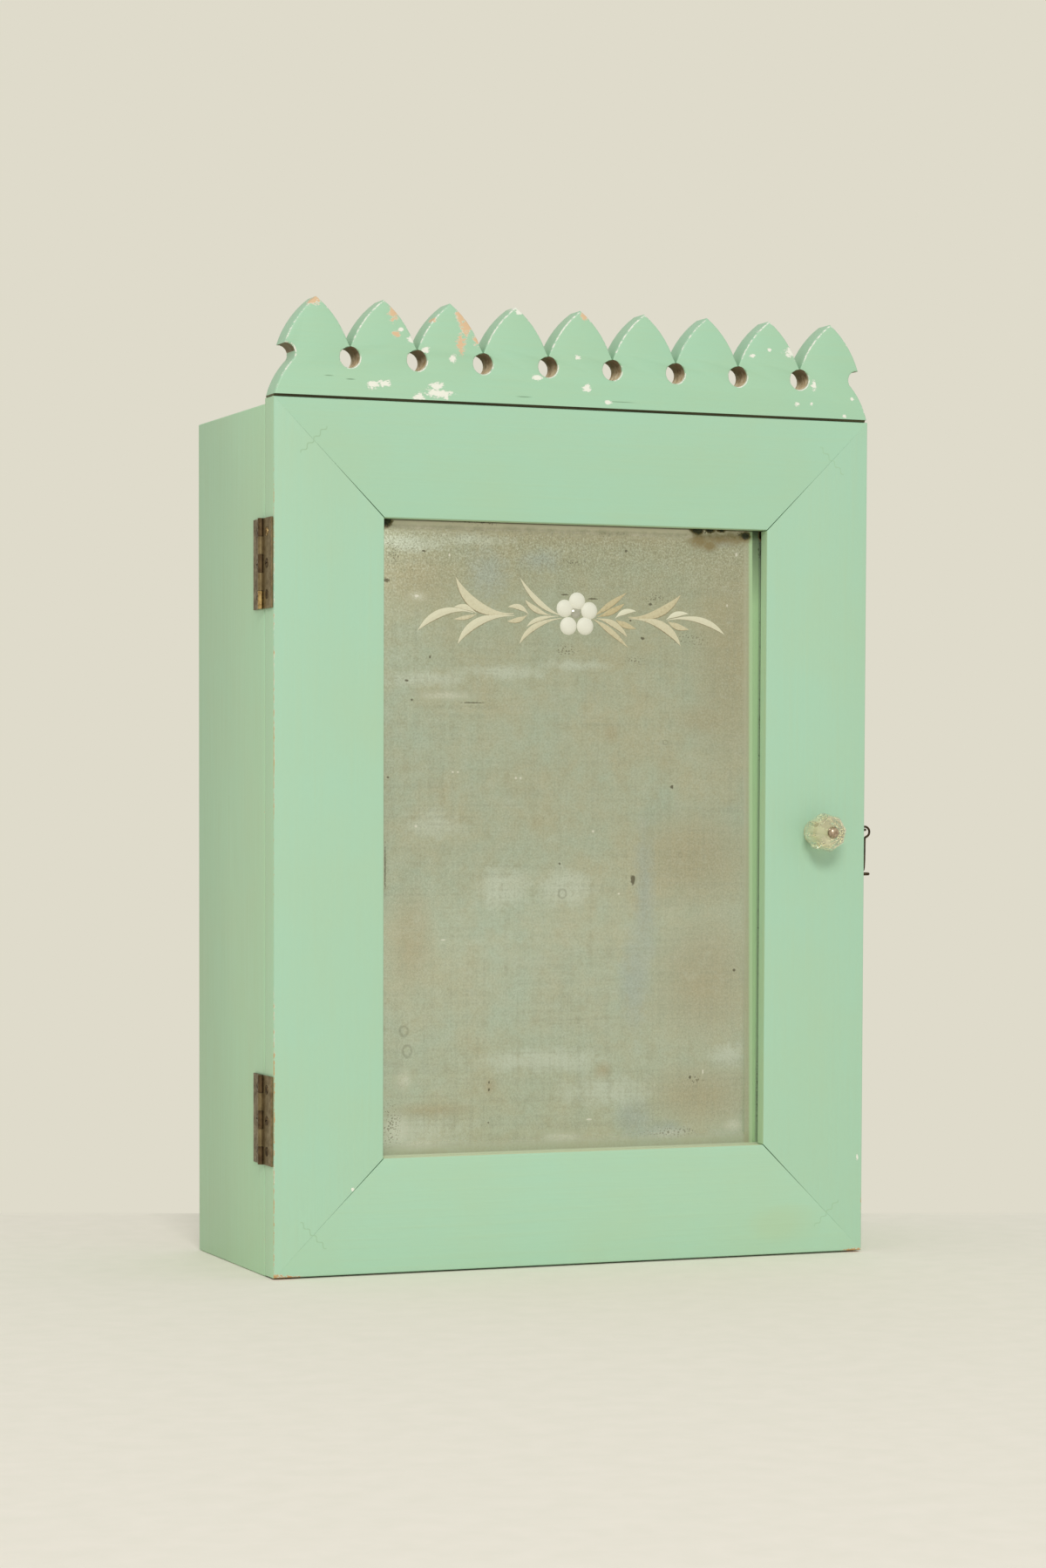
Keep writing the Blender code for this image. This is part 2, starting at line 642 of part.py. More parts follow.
face = [(bore, KNOB_LENGTH - FIT), (seat, KNOB_LENGTH - FIT)]
knob = turned(face + crown + underside + foot + [(bore, FIT)], KNOB_FLUTES * FLUTE_STEPS, closed=True)
for vertex in knob.verts:
    radius = vertex.co.xy.length
    if radius > KNOB_FOOT_RADIUS + FIT:
        wave = KNOB_FLUTE_DEPTH * (math.cos(KNOB_FLUTES * math.atan2(vertex.co.y, vertex.co.x)) - 1) / 2
        vertex.co.xy *= (radius + wave) / radius
door.append(add("knob_glass", knob, GLASS, knob_place, outward, smooth=True))
nut_top = -DOOR_THICKNESS - FIT - WASHER_THICKNESS - FIT
bolt_end = nut_top - NUT_HEIGHT - BOLT_END
dome = [
    (BOLT_HEAD_RADIUS * math.sin(angle), KNOB_LENGTH + BOLT_HEAD_HEIGHT * math.cos(angle))
    for angle in quarter
]
bolt_profile = dome + [(BOLT_RADIUS, KNOB_LENGTH), (BOLT_RADIUS, bolt_end), (0, bolt_end)]
door.append(add("knob_bolt", turned(bolt_profile), NICKEL, knob_place, outward, smooth=True))
washer_top = -DOOR_THICKNESS - FIT
washer_profile = [
    (bore, washer_top),
    (WASHER_RADIUS, washer_top),
    (WASHER_RADIUS, washer_top - WASHER_THICKNESS),
    (bore, washer_top - WASHER_THICKNESS),
]
door.append(add("knob_washer", turned(washer_profile, closed=True), NICKEL, knob_place, outward))
nut_radius = NUT_ACROSS_FLATS / 2 / math.cos(math.pi / NUT_SIDES)
nut = add("knob_nut", rod(nut_radius, nut_top - NUT_HEIGHT, nut_top, NUT_SIDES), NICKEL, knob_place, outward)
nut_hole = rod(bore, nut_top - NUT_HEIGHT - beyond, nut_top + beyond)
nut_bore = cutter("knob_nut_bore", nut_hole, knob_place, outward)
cut(nut, nut_bore)
bolt_hole = cutter("knob_bolt_hole", rod(bore, -DOOR_THICKNESS - beyond, beyond), knob_place, outward)
cut(frame["stile_right"], bolt_hole)
door += [nut, nut_bore, bolt_hole]


def screw_eye(name, board, place, ring_radius, gauge, stand):
    """A screw eye with a level ring, standing out to the right of a board's edge, and its pilot hole."""
    path = eye_path(ring_radius, -stand - EYE_GRIP)
    points = [place + Vector((stand + along, across, 0)) for along, across in path]
    made = wire(name, points, gauge, IRON)
    sideways = (0, -math.pi / 2, 0)
    hole = cutter(f"{name}_hole", rod(gauge + FIT, -beyond, EYE_GRIP + FIT, SMALL_STEPS), place, sideways)
    cut(board, hole)
    return made, hole


screw_eye(
    "hook_eye",
    sides["side_right"],
    Vector((HALF_WIDTH, HOOK_PIVOT.y, HOOK_EYE_HEIGHT)),
    HOOK_EYE_RADIUS,
    HOOK_EYE_WIRE,
    HOOK_EYE_STAND,
)
door += screw_eye(
    "latch_eye",
    frame["stile_right"],
    Vector((HALF_WIDTH, (DOOR_FRONT + DOOR_BACK) / 2, LATCH_EYE_HEIGHT)),
    LATCH_EYE_RADIUS,
    LATCH_EYE_WIRE,
    LATCH_EYE_STAND,
)

# Hook: its loop hangs on the eye's outermost wire, and its tip turns in towards the cabinet
bend = 2 * BEND_RADIUS
hook_bend = arc((-HOOK_REACH, -bend), (-HOOK_REACH + bend, 0), bend, 1, BEND_STEPS)
hook_lead = [(-HOOK_REACH, -HOOK_TIP)] + hook_bend
hook_path = eye_path(HOOK_LOOP_RADIUS, 0, hook_lead)
hook = wire("hook", [Vector((across, 0, along - HOOK_DROP)) for along, across in hook_path], HOOK_WIRE, IRON)
hook.location = HOOK_PIVOT

carry(door_axis, *door)
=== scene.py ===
import json
import math

import bmesh
import bpy
from mathutils import Matrix, Vector

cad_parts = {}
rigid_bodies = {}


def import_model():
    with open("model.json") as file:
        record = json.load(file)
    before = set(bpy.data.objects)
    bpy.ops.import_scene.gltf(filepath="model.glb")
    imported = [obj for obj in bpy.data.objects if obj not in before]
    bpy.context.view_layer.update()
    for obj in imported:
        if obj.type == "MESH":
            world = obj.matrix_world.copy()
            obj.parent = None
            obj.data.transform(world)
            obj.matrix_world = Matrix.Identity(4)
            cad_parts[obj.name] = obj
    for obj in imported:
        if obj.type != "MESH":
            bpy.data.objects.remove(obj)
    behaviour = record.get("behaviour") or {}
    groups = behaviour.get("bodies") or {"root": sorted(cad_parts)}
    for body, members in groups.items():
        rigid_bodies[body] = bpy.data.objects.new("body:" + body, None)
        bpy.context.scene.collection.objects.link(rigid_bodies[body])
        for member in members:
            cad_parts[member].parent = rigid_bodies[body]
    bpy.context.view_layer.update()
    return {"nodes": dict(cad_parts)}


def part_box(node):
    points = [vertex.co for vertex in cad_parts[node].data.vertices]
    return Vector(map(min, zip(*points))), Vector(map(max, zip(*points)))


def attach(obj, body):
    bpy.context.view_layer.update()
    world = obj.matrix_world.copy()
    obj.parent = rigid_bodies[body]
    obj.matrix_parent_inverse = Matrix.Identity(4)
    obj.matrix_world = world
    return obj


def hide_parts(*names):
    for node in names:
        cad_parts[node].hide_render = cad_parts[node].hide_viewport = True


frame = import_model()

# Carcass: a shallow pine box, two side boards with the top, the bottom, two shelves and a thin back let in.
# It was brushed with the same mint oil paint as the door, over white primer, and the sides have yellowed.


def colour(code):
    """A hex sRGB colour as the linear RGBA that a shader takes."""
    channels = [int(code[start:start + 2], 16) / 255 for start in (1, 3, 5)]
    return (*[c / 12.92 if c <= 0.04045 else ((c + 0.055) / 1.055) ** 2.4 for c in channels], 1)


def add(tree, kind, inputs, **settings):
    """The outputs of a new shader node, its settings made and each input given a value or linked to one."""
    made = tree.nodes.new("ShaderNode" + kind)
    for name, value in settings.items():
        setattr(made, name, value)
    for name, value in inputs.items():
        if isinstance(value, bpy.types.NodeSocket):
            tree.links.new(value, made.inputs[name])
        else:
            made.inputs[name].default_value = value
    return made.outputs


def blank(name):
    """A new material, its tree with no shader in it, and the object's coordinates to place patterns by."""
    made = bpy.data.materials.new(name)
    made.use_nodes = True
    tree = made.node_tree
    tree.nodes.remove(tree.nodes["Principled BSDF"])
    return made, tree, add(tree, "TexCoord", {})["Object"]


def show(tree, shader):
    """Sends a shader to the material's output."""
    tree.links.new(shader[0], tree.nodes["Material Output"].inputs["Surface"])


def nearest_mark(tree, place, marks, reach=7):
    """How far a point on a front face is from the nearest mark, 1 at the mark's edge.

    Each mark is (x, z, half-width, half-height) in millimetres, and goes in behind the door's face by reach.
    """
    nearest = None
    face = 1000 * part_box("stile_left")[0].y
    for x, z, width, height in marks:
        scale = (1000 / width, 1000 / reach, 1000 / height)
        offset = (-x / width, -face / reach, -z / height)
        gap = add(tree, "VectorMath", {0: place, 1: scale, 2: offset}, operation="MULTIPLY_ADD")[0]
        gap = add(tree, "VectorMath", {0: gap}, operation="LENGTH")["Value"]
        if nearest is None:
            nearest = gap
        else:
            nearest = add(tree, "Math", {0: nearest, 1: gap}, operation="MINIMUM")[0]
    return nearest


def oil_paint(
    name, tone, aged, grain, primer_from, wood_from, primer=(), wood=(), cracks=(), stains=(), pine="#c99c68"
):
    """Satin oil paint, brushed along the grain over white primer on pine.

    It gives the eye fine strokes, a faint yellow bloom, and chips with a white rim round bare wood.
    primer_from and wood_from say how rubbed an arris must be to show each. primer and wood are marks where a
    chip goes down to it, cracks are marks where the grain has split the paint, and stains are yellowed marks.
    """
    made, tree, place = blank(name)
    # Bristle marks 0.6 mm apart would be too fine to show, so they are drawn about 2.5 mm apart
    along, across = 14, 400
    stretch = (along, across, across) if grain == "X" else (across, across, along)
    stretched = add(tree, "Mapping", {"Vector": place, "Scale": stretch})[0]
    strokes = add(tree, "TexNoise", {"Vector": stretched, "Scale": 1, "Detail": 3})["Fac"]
    # The bloom comes in clouds about 80 mm across
    clouds = {"Vector": place, "Scale": 12, "Detail": 5, "Roughness": 0.62}
    bloom = add(tree, "TexNoise", clouds)["Fac"]
    # Paint tears raggedly, about 2 mm at a time, and further along the grain than across it
    torn_way = (0.5, 1, 1) if grain == "X" else (1, 1, 0.5)
    drawn = add(tree, "Mapping", {"Vector": place, "Scale": torn_way})[0]
    tears = {"Vector": drawn, "Scale": 560, "Detail": 8, "Roughness": 0.8}
    nicks = add(tree, "TexNoise", tears)["Fac"]

    limits = {"Value": bloom, "From Min": 0.4, "From Max": 0.75, "To Max": 0.55}
    yellowed = add(tree, "MapRange", limits)[0]
    if stains:
        gap = nearest_mark(tree, place, stains)
        far = add(tree, "Math", {0: bloom, 1: 1.2, 2: gap}, operation="MULTIPLY_ADD")[0]
        limits = {"Value": far, "From Min": 1.75, "From Max": 1.1, "To Max": 0.9}
        stained = add(tree, "MapRange", limits)[0]
        yellowed = add(tree, "Math", {0: yellowed, 1: stained}, operation="MAXIMUM")[0]
    fresh = add(tree, "Mix", {0: yellowed, 6: colour(tone), 7: colour(aged)}, data_type="RGBA")[2]
    limits = {"Value": strokes, "From Min": 0.45, "From Max": 0.8, "To Max": 0.3}
    shaded = add(tree, "MapRange", limits)[0]
    coat = add(tree, "Mix", {0: shaded, 6: fresh, 7: colour(aged)}, data_type="RGBA")[2]
    limits = {"Value": nicks, "From Min": 0.7, "From Max": 0.78, "To Max": 0.35}
    darkening = add(tree, "MapRange", limits)[0]
    coat = add(tree, "Mix", {0: darkening, 6: coat, 7: colour("#7d9477")}, data_type="RGBA")[2]
    if cracks:
        limits = {"Value": nearest_mark(tree, place, cracks), "From Min": 1, "From Max": 0.4, "To Max": 0.7}
        split = add(tree, "MapRange", limits)[0]
        coat = add(tree, "Mix", {0: split, 6: coat, 7: colour("#5d7a5c")}, data_type="RGBA")[2]

    frayed = add(tree, "Math", {0: nicks, 1: 3.4, 2: -1.7}, operation="MULTIPLY_ADD")[0]
    handled = add(tree, "Math", {0: bloom, 1: 1.2, 2: -0.6}, operation="MULTIPLY_ADD")[0]
    uneven = add(tree, "Math", {0: frayed, 1: handled}, operation="ADD")[0]
    arris = add(tree, "Attribute", {}, attribute_name="arris")["Fac"]
    rubbed = add(tree, "Math", {0: arris, 1: uneven}, operation="ADD")[0]
    to_primer, to_wood = [
        add(tree, "MapRange", {"Value": rubbed, "From Min": start, "From Max": start + 0.08})[0]
        for start in (primer_from, wood_from)
    ]
    jagged = add(tree, "Math", {0: nicks, 1: 5.4, 2: -2.7}, operation="MULTIPLY_ADD")[0]
    if wood:
        gap = nearest_mark(tree, place, wood)
        torn = add(tree, "Math", {0: jagged, 1: gap}, operation="ADD")[0]
        gone = add(tree, "MapRange", {"Value": torn, "From Min": 1.0, "From Max": 0.92})[0]
        to_wood = add(tree, "Math", {0: to_wood, 1: gone}, operation="MAXIMUM")[0]
        edge = add(tree, "Math", {0: torn, 1: handled}, operation="ADD")[0]
        rim = add(tree, "MapRange", {"Value": edge, "From Min": 1.12, "From Max": 1.04})[0]
        to_primer = add(tree, "Math", {0: to_primer, 1: rim}, operation="MAXIMUM")[0]
    if primer:
        gap = nearest_mark(tree, place, primer)
        torn = add(tree, "Math", {0: jagged, 1: gap}, operation="ADD")[0]
        gone = add(tree, "MapRange", {"Value": torn, "From Min": 1.08, "From Max": 1.0})[0]
        to_primer = add(tree, "Math", {0: to_primer, 1: gone}, operation="MAXIMUM")[0]

    skin = add(tree, "Mix", {0: to_primer, 6: coat, 7: colour("#e9e8da")}, data_type="RGBA")[2]
    skin = add(tree, "Mix", {0: to_wood, 6: skin, 7: colour(pine)}, data_type="RGBA")[2]
    satin = add(tree, "MapRange", {"Value": strokes, "To Min": 0.36, "To Max": 0.54})[0]
    sheen = add(tree, "Mix", {0: to_primer, 2: satin, 3: 0.85})[0]
    relief = add(tree, "Math", {0: to_primer, 1: -1.2, 2: strokes}, operation="MULTIPLY_ADD")[0]
    normal = add(tree, "Bump", {"Height": relief, "Strength": 0.35, "Distance": 0.0003})[0]
    show(tree, add(tree, "BsdfPrincipled", {"Base Color": skin, "Roughness": sheen, "Normal": normal}))
    return made


def copy_node(node):
    """A merged copy of a CAD node, in edit mode with its flat faces made whole."""
    bpy.ops.object.select_all(action="DESELECT")
    piece = bpy.data.objects.new(node, frame["nodes"][node].data.copy())
    bpy.context.collection.objects.link(piece)
    piece.select_set(True)
    bpy.context.view_layer.objects.active = piece
    bpy.ops.object.mode_set(mode="EDIT")
    bpy.ops.mesh.customdata_custom_splitnormals_clear()
    bpy.ops.mesh.select_all(action="SELECT")
    bpy.ops.mesh.remove_doubles(threshold=1e-6)
    bpy.ops.mesh.dissolve_limited(angle_limit=math.radians(0.5))
    return piece


def pick(piece, kind, test):
    """Selects the edges or faces of a piece in edit mode that pass a test, and nothing else."""
    bpy.ops.mesh.select_mode(type=kind)
    bpy.ops.mesh.select_all(action="DESELECT")
    mesh = bmesh.from_edit_mesh(piece.data)
    for item in mesh.edges if kind == "EDGE" else mesh.faces:
        item.select_set(test(item))
    bmesh.update_edit_mesh(piece.data)


def soften(piece, chosen, width):
    """Rounds the edges that pass a test, on a piece in edit mode, and marks the round as its worn arris."""
    layers = bmesh.from_edit_mesh(piece.data).verts.layers.float
    if layers.get("arris") is None:
        layers.new("arris")
    pick(piece, "EDGE", chosen)
    bpy.ops.mesh.bevel(offset=width, segments=4)
    bpy.ops.mesh.select_mode(type="FACE")
    bpy.ops.mesh.select_less()
    mesh = bmesh.from_edit_mesh(piece.data)
    arris = mesh.verts.layers.float.get("arris")
    for vertex in mesh.verts:
        if vertex.select:
            vertex[arris] = 1
    bmesh.update_edit_mesh(piece.data)


def settle(piece, name, skin, body, slot, *nodes):
    """Names and dresses a finished piece and hands it to its body, in place of its CAD nodes."""
    bpy.ops.object.mode_set(mode="OBJECT")
    bpy.ops.object.shade_smooth_by_angle(angle=math.radians(40))
    piece.name = name
    piece.data.materials.clear()
    piece.data.materials.append(skin)
    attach(piece, body)
    if nodes:
        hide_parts(*nodes)


# How near a point lies to a face, in metres, to be on it, and to be next to it
touching, nearby = 1e-5, 1e-4


def lies_on(edge, axis, limit):
    """Whether an edge lies in the plane where one of its axes, 0 to 2, has this value."""
    return all(abs(vertex.co[axis] - limit) < touching for vertex in edge.verts)


def box_edges(node):
    """A test for the edges that lie along the edges of a node's own box."""
    low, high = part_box(node)

    def test(edge):
        sides = [lies_on(edge, axis, corner[axis]) for axis in range(3) for corner in (low, high)]
        return sum(sides) >= 2

    return test


board_round = 0.0007
side_paint = oil_paint("oil_paint_side", "#aed4ad", "#b3cca3", "Z", 1.45, 1.5)
level_paint = oil_paint("oil_paint_top", "#aed4ad", "#b3cca3", "X", 1.45, 1.5)
inside_paint = oil_paint("oil_paint_inside", "#ccd8bd", "#c9c69f", "X", 1.5, 1.6)
for node, skin, slot in (
    ("side_left", side_paint, "green_paint"),
    ("side_right", side_paint, "green_paint"),
    ("top_board", level_paint, "green_paint"),
    ("bottom_board", level_paint, "green_paint"),
    ("back_panel", inside_paint, "inner_paint"),
    ("shelf_upper", inside_paint, "inner_paint"),
    ("shelf_lower", inside_paint, "inner_paint"),
):
    board = copy_node(node)
    soften(board, box_edges(node), board_round)
    settle(board, "painted_" + node, skin, "carcass", slot, node)

# Crest: a pine board sawn into nine pointed arches, with a hole bored at the foot of each cut. The front
# arrises were rounded with sandpaper before painting. Knocks have taken the paint down to the primer, and to
# the wood at some tips.
crest_low, crest_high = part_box("crest")
hole_count, arch_pitch, hole_rise, hole_radius, slit_half = 8, 0.040, 0.022, 0.006, 0.0006
front_round, back_round, rim_round, facet_sag = 0.0011, 0.0005, 0.0009, 0.0003
rim_reach, bore_reach, notch_reach, notch_rise = 0.0008, 0.0002, 0.020, 0.010
valleys = [arch_pitch * (index - (hole_count - 1) / 2) for index in range(hole_count)]
# Marks are (x, z, half-width, half-height) in millimetres, here and on the door
wood_chips = (
    (-162.0, 549.5, 4.4, 2.6), (-114.1, 544.8, 2.8, 4.2), (-112.7, 532.4, 2.2, 1.6), (-73.6, 544.2, 2.8, 4.0),
    (-70.2, 538.4, 3.0, 4.2), (-73.5, 528.8, 2.3, 4.6), (-63.9, 532.1, 2.4, 3.0), (-90.6, 542.2, 1.9, 1.7),
    (2.4, 548.4, 2.4, 2.2),
)
primer_chips = (
    (-110.0, 535.1, 1.5, 0.9), (-103.2, 529.7, 2.4, 1.6), (-94.9, 524.4, 1.9, 1.7), (-78.1, 520.5, 1.8, 2.1),
    (-126.5, 503.5, 3.4, 1.8), (-119.6, 504.6, 3.1, 1.7), (-88.3, 504.3, 3.9, 2.0), (-87.5, 500.3, 7.3, 2.0),
    (-98.8, 497.9, 2.7, 1.7), (-82.5, 498.0, 1.4, 1.1), (-42.0, 551.0, 3.2, 1.3), (-38.4, 549.0, 2.4, 1.4),
    (-1.7, 524.5, 1.5, 1.0), (-26.9, 512.0, 2.9, 1.4), (4.1, 507.2, 2.2, 2.0), (17.7, 499.9, 1.8, 0.9),
    (134.3, 533.6, 3.9, 2.7), (109.0, 530.6, 1.9, 0.9), (120.1, 534.6, 1.0, 0.9), (149.4, 515.1, 1.4, 2.5),
    (138.5, 503.6, 1.2, 1.1), (148.0, 504.4, 1.1, 0.9), (169.5, 498.2, 1.1, 1.1), (174.7, 508.2, 1.0, 0.9),
    (111.4, 546.0, 2.0, 1.1),
)
grain_splits = (
    (-152.6, 507.5, 3.4, 0.35), (-139.8, 506.0, 3.4, 0.45), (-35.0, 500.6, 6.0, 0.4),
    (25.0, 500.2, 12.0, 0.3),
)
# Its tone is a shade darker than the stiles', as painted shade against the stronger light near the top
crest_paint = oil_paint(
    "oil_paint_crest", "#a3cbab", "#a9c6a1", "X", 1.02, 1.72,
    primer_chips, wood_chips, grain_splits, pine="#d9b892",
)


def grained_wood(name, light, dark, grain, shade_heights=()):
    """Bare pine, sawn or bored: dull, with growth lines about 3 mm apart drawn out along the grain.

    The last argument gives the height at which painted shade starts to darken the wood and the height at
    which it is dark all over, for the upper wall of a bore, which the light from above does not reach.
    """
    made, tree, place = blank(name)
    along, across = 20, 330
    stretch = (along, across, across) if grain == "X" else (across, across, along)
    stretched = add(tree, "Mapping", {"Vector": place, "Scale": stretch})[0]
    growth = {"Vector": stretched, "Scale": 1, "Detail": 4, "Distortion": 0.6}
    lines = add(tree, "TexNoise", growth)["Fac"]
    depth = add(tree, "MapRange", {"Value": lines, "From Min": 0.3, "From Max": 0.7})[0]
    tint = add(tree, "Mix", {0: depth, 6: colour(light), 7: colour(dark)}, data_type="RGBA")[2]
    # Painted shade: darker towards the top, where the upper wall of a bore lies out of the light
    if shade_heights:
        height = add(tree, "SeparateXYZ", {"Vector": place})["Z"]
        height = add(tree, "Math", {0: lines, 1: 0.004, 2: height}, operation="MULTIPLY_ADD")[0]
        limits = {"Value": height, "From Min": shade_heights[0], "From Max": shade_heights[1], "To Max": 0.85}
        darkening = add(tree, "MapRange", limits)[0]
        tint = add(tree, "Mix", {0: darkening, 6: tint, 7: colour("#55452c")}, data_type="RGBA")[2]
    dull = add(tree, "MapRange", {"Value": lines, "To Min": 0.7, "To Max": 0.9})[0]
    normal = add(tree, "Bump", {"Height": lines, "Strength": 0.5, "Distance": 0.0004})[0]
    show(tree, add(tree, "BsdfPrincipled", {"Base Color": tint, "Roughness": dull, "Normal": normal}))
    return made


hole_middle = crest_low.z + hole_rise
# The bored walls are painted paler than the pine elsewhere, as painted light on the lower walls, and painted
# shade darkens them towards the top
shade_from, shade_to = hole_middle - 0.002, hole_middle + 0.005
bored_pine = grained_wood("bored_pine", "#fbeccb", "#c9ab7c", "X", (shade_from, shade_to))


def hole_gap(point):
    """Distance in the board's plane from the middle of the nearest hole."""
    return min(math.hypot(point.x - valley, point.z - hole_middle) for valley in valleys)


def sawn_edge(face_y):
    """A test for the outline's edges on one face, but for the foot, the holes and the slits above them."""

    def test(edge):
        middle = (edge.verts[0].co + edge.verts[1].co) / 2
        outline = edge.calc_face_angle(0) > 1 and middle.z > crest_low.z + nearby
        in_slit = min(abs(middle.x - valley) for valley in valleys) < slit_half
        clear = hole_gap(middle) > hole_radius + slit_half
        return lies_on(edge, 1, face_y) and outline and clear and not in_slit

    return test


def hole_rim(edge):
    """A test for the front edges of the holes, below the slits."""
    middle = (edge.verts[0].co + edge.verts[1].co) / 2
    on_rim = lies_on(edge, 1, crest_low.y) and abs(hole_gap(middle) - hole_radius) < facet_sag
    return on_rim and middle.z < hole_middle + 0.7 * hole_radius


def foot_behind(setback):
    """A test for the part of the board's foot that lies this far behind its front."""

    def test(face):
        middle = face.calc_center_median()
        underside = face.normal.z < -0.99 and middle.z < crest_low.z + touching
        return underside and middle.y > crest_low.y + setback

    return test


crest = copy_node("crest")
soften(crest, sawn_edge(crest_low.y), front_round)
soften(crest, sawn_edge(crest_high.y), back_round)
soften(crest, hole_rim, rim_round)
# Behind its front arris the foot comes down until it all but meets the door, so that no light shows through
foot_setback, foot_gap = 0.0026, 0.0002
foot_drop = crest_low.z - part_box("rail_top")[1].z - foot_gap
pick(crest, "FACE", foot_behind(0))
bpy.ops.mesh.bisect(plane_co=(0, crest_low.y + foot_setback, 0), plane_no=(0, 1, 0))
pick(crest, "FACE", foot_behind(foot_setback))
bpy.ops.mesh.extrude_region_move(TRANSFORM_OT_translate={"value": (0, 0, -foot_drop)})
# The left flank of each arch has been knocked most, and so have the lower right rims of the holes
mesh = bmesh.from_edit_mesh(crest.data)
arris = mesh.verts.layers.float.get("arris")
for vertex in mesh.verts:
    left_flank = (vertex.co.x / arch_pitch + 0.5) % 1 < 0.5
    if hole_gap(vertex.co) < hole_radius + rim_reach:
        vertex[arris] *= 1.2 if left_flank and vertex.co.z < hole_middle else 0.85
    else:
        vertex[arris] *= 1.12 if left_flank else 0.8
bmesh.update_edit_mesh(crest.data)
settle(crest, "sawn_crest", crest_paint, "carcass", "green_paint", "crest")
crest.data.materials.append(bored_pine)
# No brush reached the foot, and its dark tone is painted shade for the narrow joint above the door
crest.data.materials.append(grained_wood("shadowed_foot_pine", "#716b4a", "#4d4a31", "X"))
for face in crest.data.polygons:
    at_end = abs(face.center.x) > crest_high.x - notch_reach
    under_end = at_end and face.normal.z < -0.25 and face.center.z > crest_low.z + notch_rise
    if face.center.z < crest_low.z + touching:
        face.material_index = 2
    elif abs(face.normal.y) < 0.1 and (under_end or hole_gap(face.center) < hole_radius + bore_reach):
        face.material_index = 1

# Cleat and its screws: a batten behind the crest, screwed down to the top board and through to the crest.
# It got one thin coat of paint, and the plain steel screws have gone brown.
cleat_round = 0.0008


def tarnished_metal(name, light, dark, roughness, scale, metallic=1.0):
    """Old bare metal: two tones of tarnish in soft patches, scale of them to a metre, duller where darker."""
    made, tree, place = blank(name)
    stains = {"Vector": place, "Scale": scale, "Detail": 6, "Roughness": 0.65}
    patches = add(tree, "TexNoise", stains)["Fac"]
    depth = add(tree, "MapRange", {"Value": patches, "From Min": 0.35, "From Max": 0.65})[0]
    tint = add(tree, "Mix", {0: depth, 6: colour(light), 7: colour(dark)}, data_type="RGBA")[2]
    low, high = roughness
    dull = add(tree, "MapRange", {"Value": depth, "To Min": low, "To Max": high})[0]
    normal = add(tree, "Bump", {"Height": patches, "Strength": 0.25, "Distance": 0.0002})[0]
    inputs = {"Base Color": tint, "Roughness": dull, "Metallic": metallic, "Normal": normal}
    show(tree, add(tree, "BsdfPrincipled", inputs))
    return made


def dress(node, skin):
    """Gives its finish to a CAD node whose shape stays as it is."""
    finishes = frame["nodes"][node].data.materials
    finishes.clear()
    finishes.append(skin)


brown_steel = tarnished_metal("browned_steel", "#6e5f4d", "#3f3226", (0.4, 0.7), 500)
cleat = copy_node("crest_cleat")
soften(cleat, box_edges("crest_cleat"), cleat_round)
settle(cleat, "painted_cleat", level_paint, "carcass", "green_paint", "crest_cleat")
for node in ("cleat_screw_left", "cleat_screw_right", "crest_screw_left", "crest_screw_right"):
    dress(node, brown_steel)

# Door frame: four lengths of rabbeted pine, mitred at the corners. The mitres have opened towards the mirror,
# and the arrises are rubbed through to the wood along the bottom and at the corners.
frame_low, frame_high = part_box("stile_left")
front, back = frame_low.y, frame_high.y
outer_left, door_bottom, door_top = frame_low.x, frame_low.z, frame_high.z
outer_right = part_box("stile_right")[1].x
member_width, rabbet_width, rabbet_depth = 0.0655, 0.0075, 0.0079
lip_back = back - rabbet_depth
face_round, rear_round = 0.0008, 0.0005
# Each cut's half gap at the door's edge and at the mirror: hair-fine along the outer half, then opening
mitre_gaps = ((0.00001, 0.00016), (-0.00030, 0.00042))


def frame_length(length):
    """One length of frame, its outer edge on the Z axis: its section, drawn out, then mitred at both ends."""
    bpy.ops.object.select_all(action="DESELECT")
    bpy.ops.mesh.primitive_plane_add(size=1)
    piece = bpy.context.object
    bpy.ops.object.mode_set(mode="EDIT")
    bpy.ops.transform.resize(value=(member_width, lip_back - front, 1))
    bpy.ops.transform.translate(value=(member_width / 2, (front + lip_back) / 2, 0))
    bpy.ops.mesh.bisect(plane_co=(member_width - rabbet_width, 0, 0), plane_no=(1, 0, 0))

    def behind_the_solid_part(edge):
        middle = (edge.verts[0].co + edge.verts[1].co) / 2
        return abs(middle.y - lip_back) < touching and middle.x < member_width - rabbet_width - nearby

    pick(piece, "EDGE", behind_the_solid_part)
    bpy.ops.mesh.extrude_region_move(TRANSFORM_OT_translate={"value": (0, rabbet_depth, 0)})
    bpy.ops.mesh.select_all(action="SELECT")
    bpy.ops.mesh.extrude_region_move(TRANSFORM_OT_translate={"value": (0, 0, length)})
    for outer_gap, inner_gap in mitre_gaps:
        rise = member_width + inner_gap - outer_gap
        for start, slope in ((outer_gap, 1), (length - outer_gap, -1)):
            cut = {"plane_co": (0, 0, start), "plane_no": (rise, 0, -slope * member_width), "threshold": 1e-6}
            bpy.ops.mesh.select_all(action="SELECT")
            bpy.ops.mesh.bisect(use_fill=True, clear_outer=True, **cut)
    bpy.ops.mesh.select_all(action="SELECT")
    bpy.ops.mesh.normals_make_consistent(inside=False)
    return piece


def long_edge(face_y):
    """A test for the long edges on one face of a frame length."""

    def test(edge):
        long = edge.calc_length() > 2 * member_width
        return lies_on(edge, 1, face_y) and long and edge.calc_face_angle(0) > 1

    return test


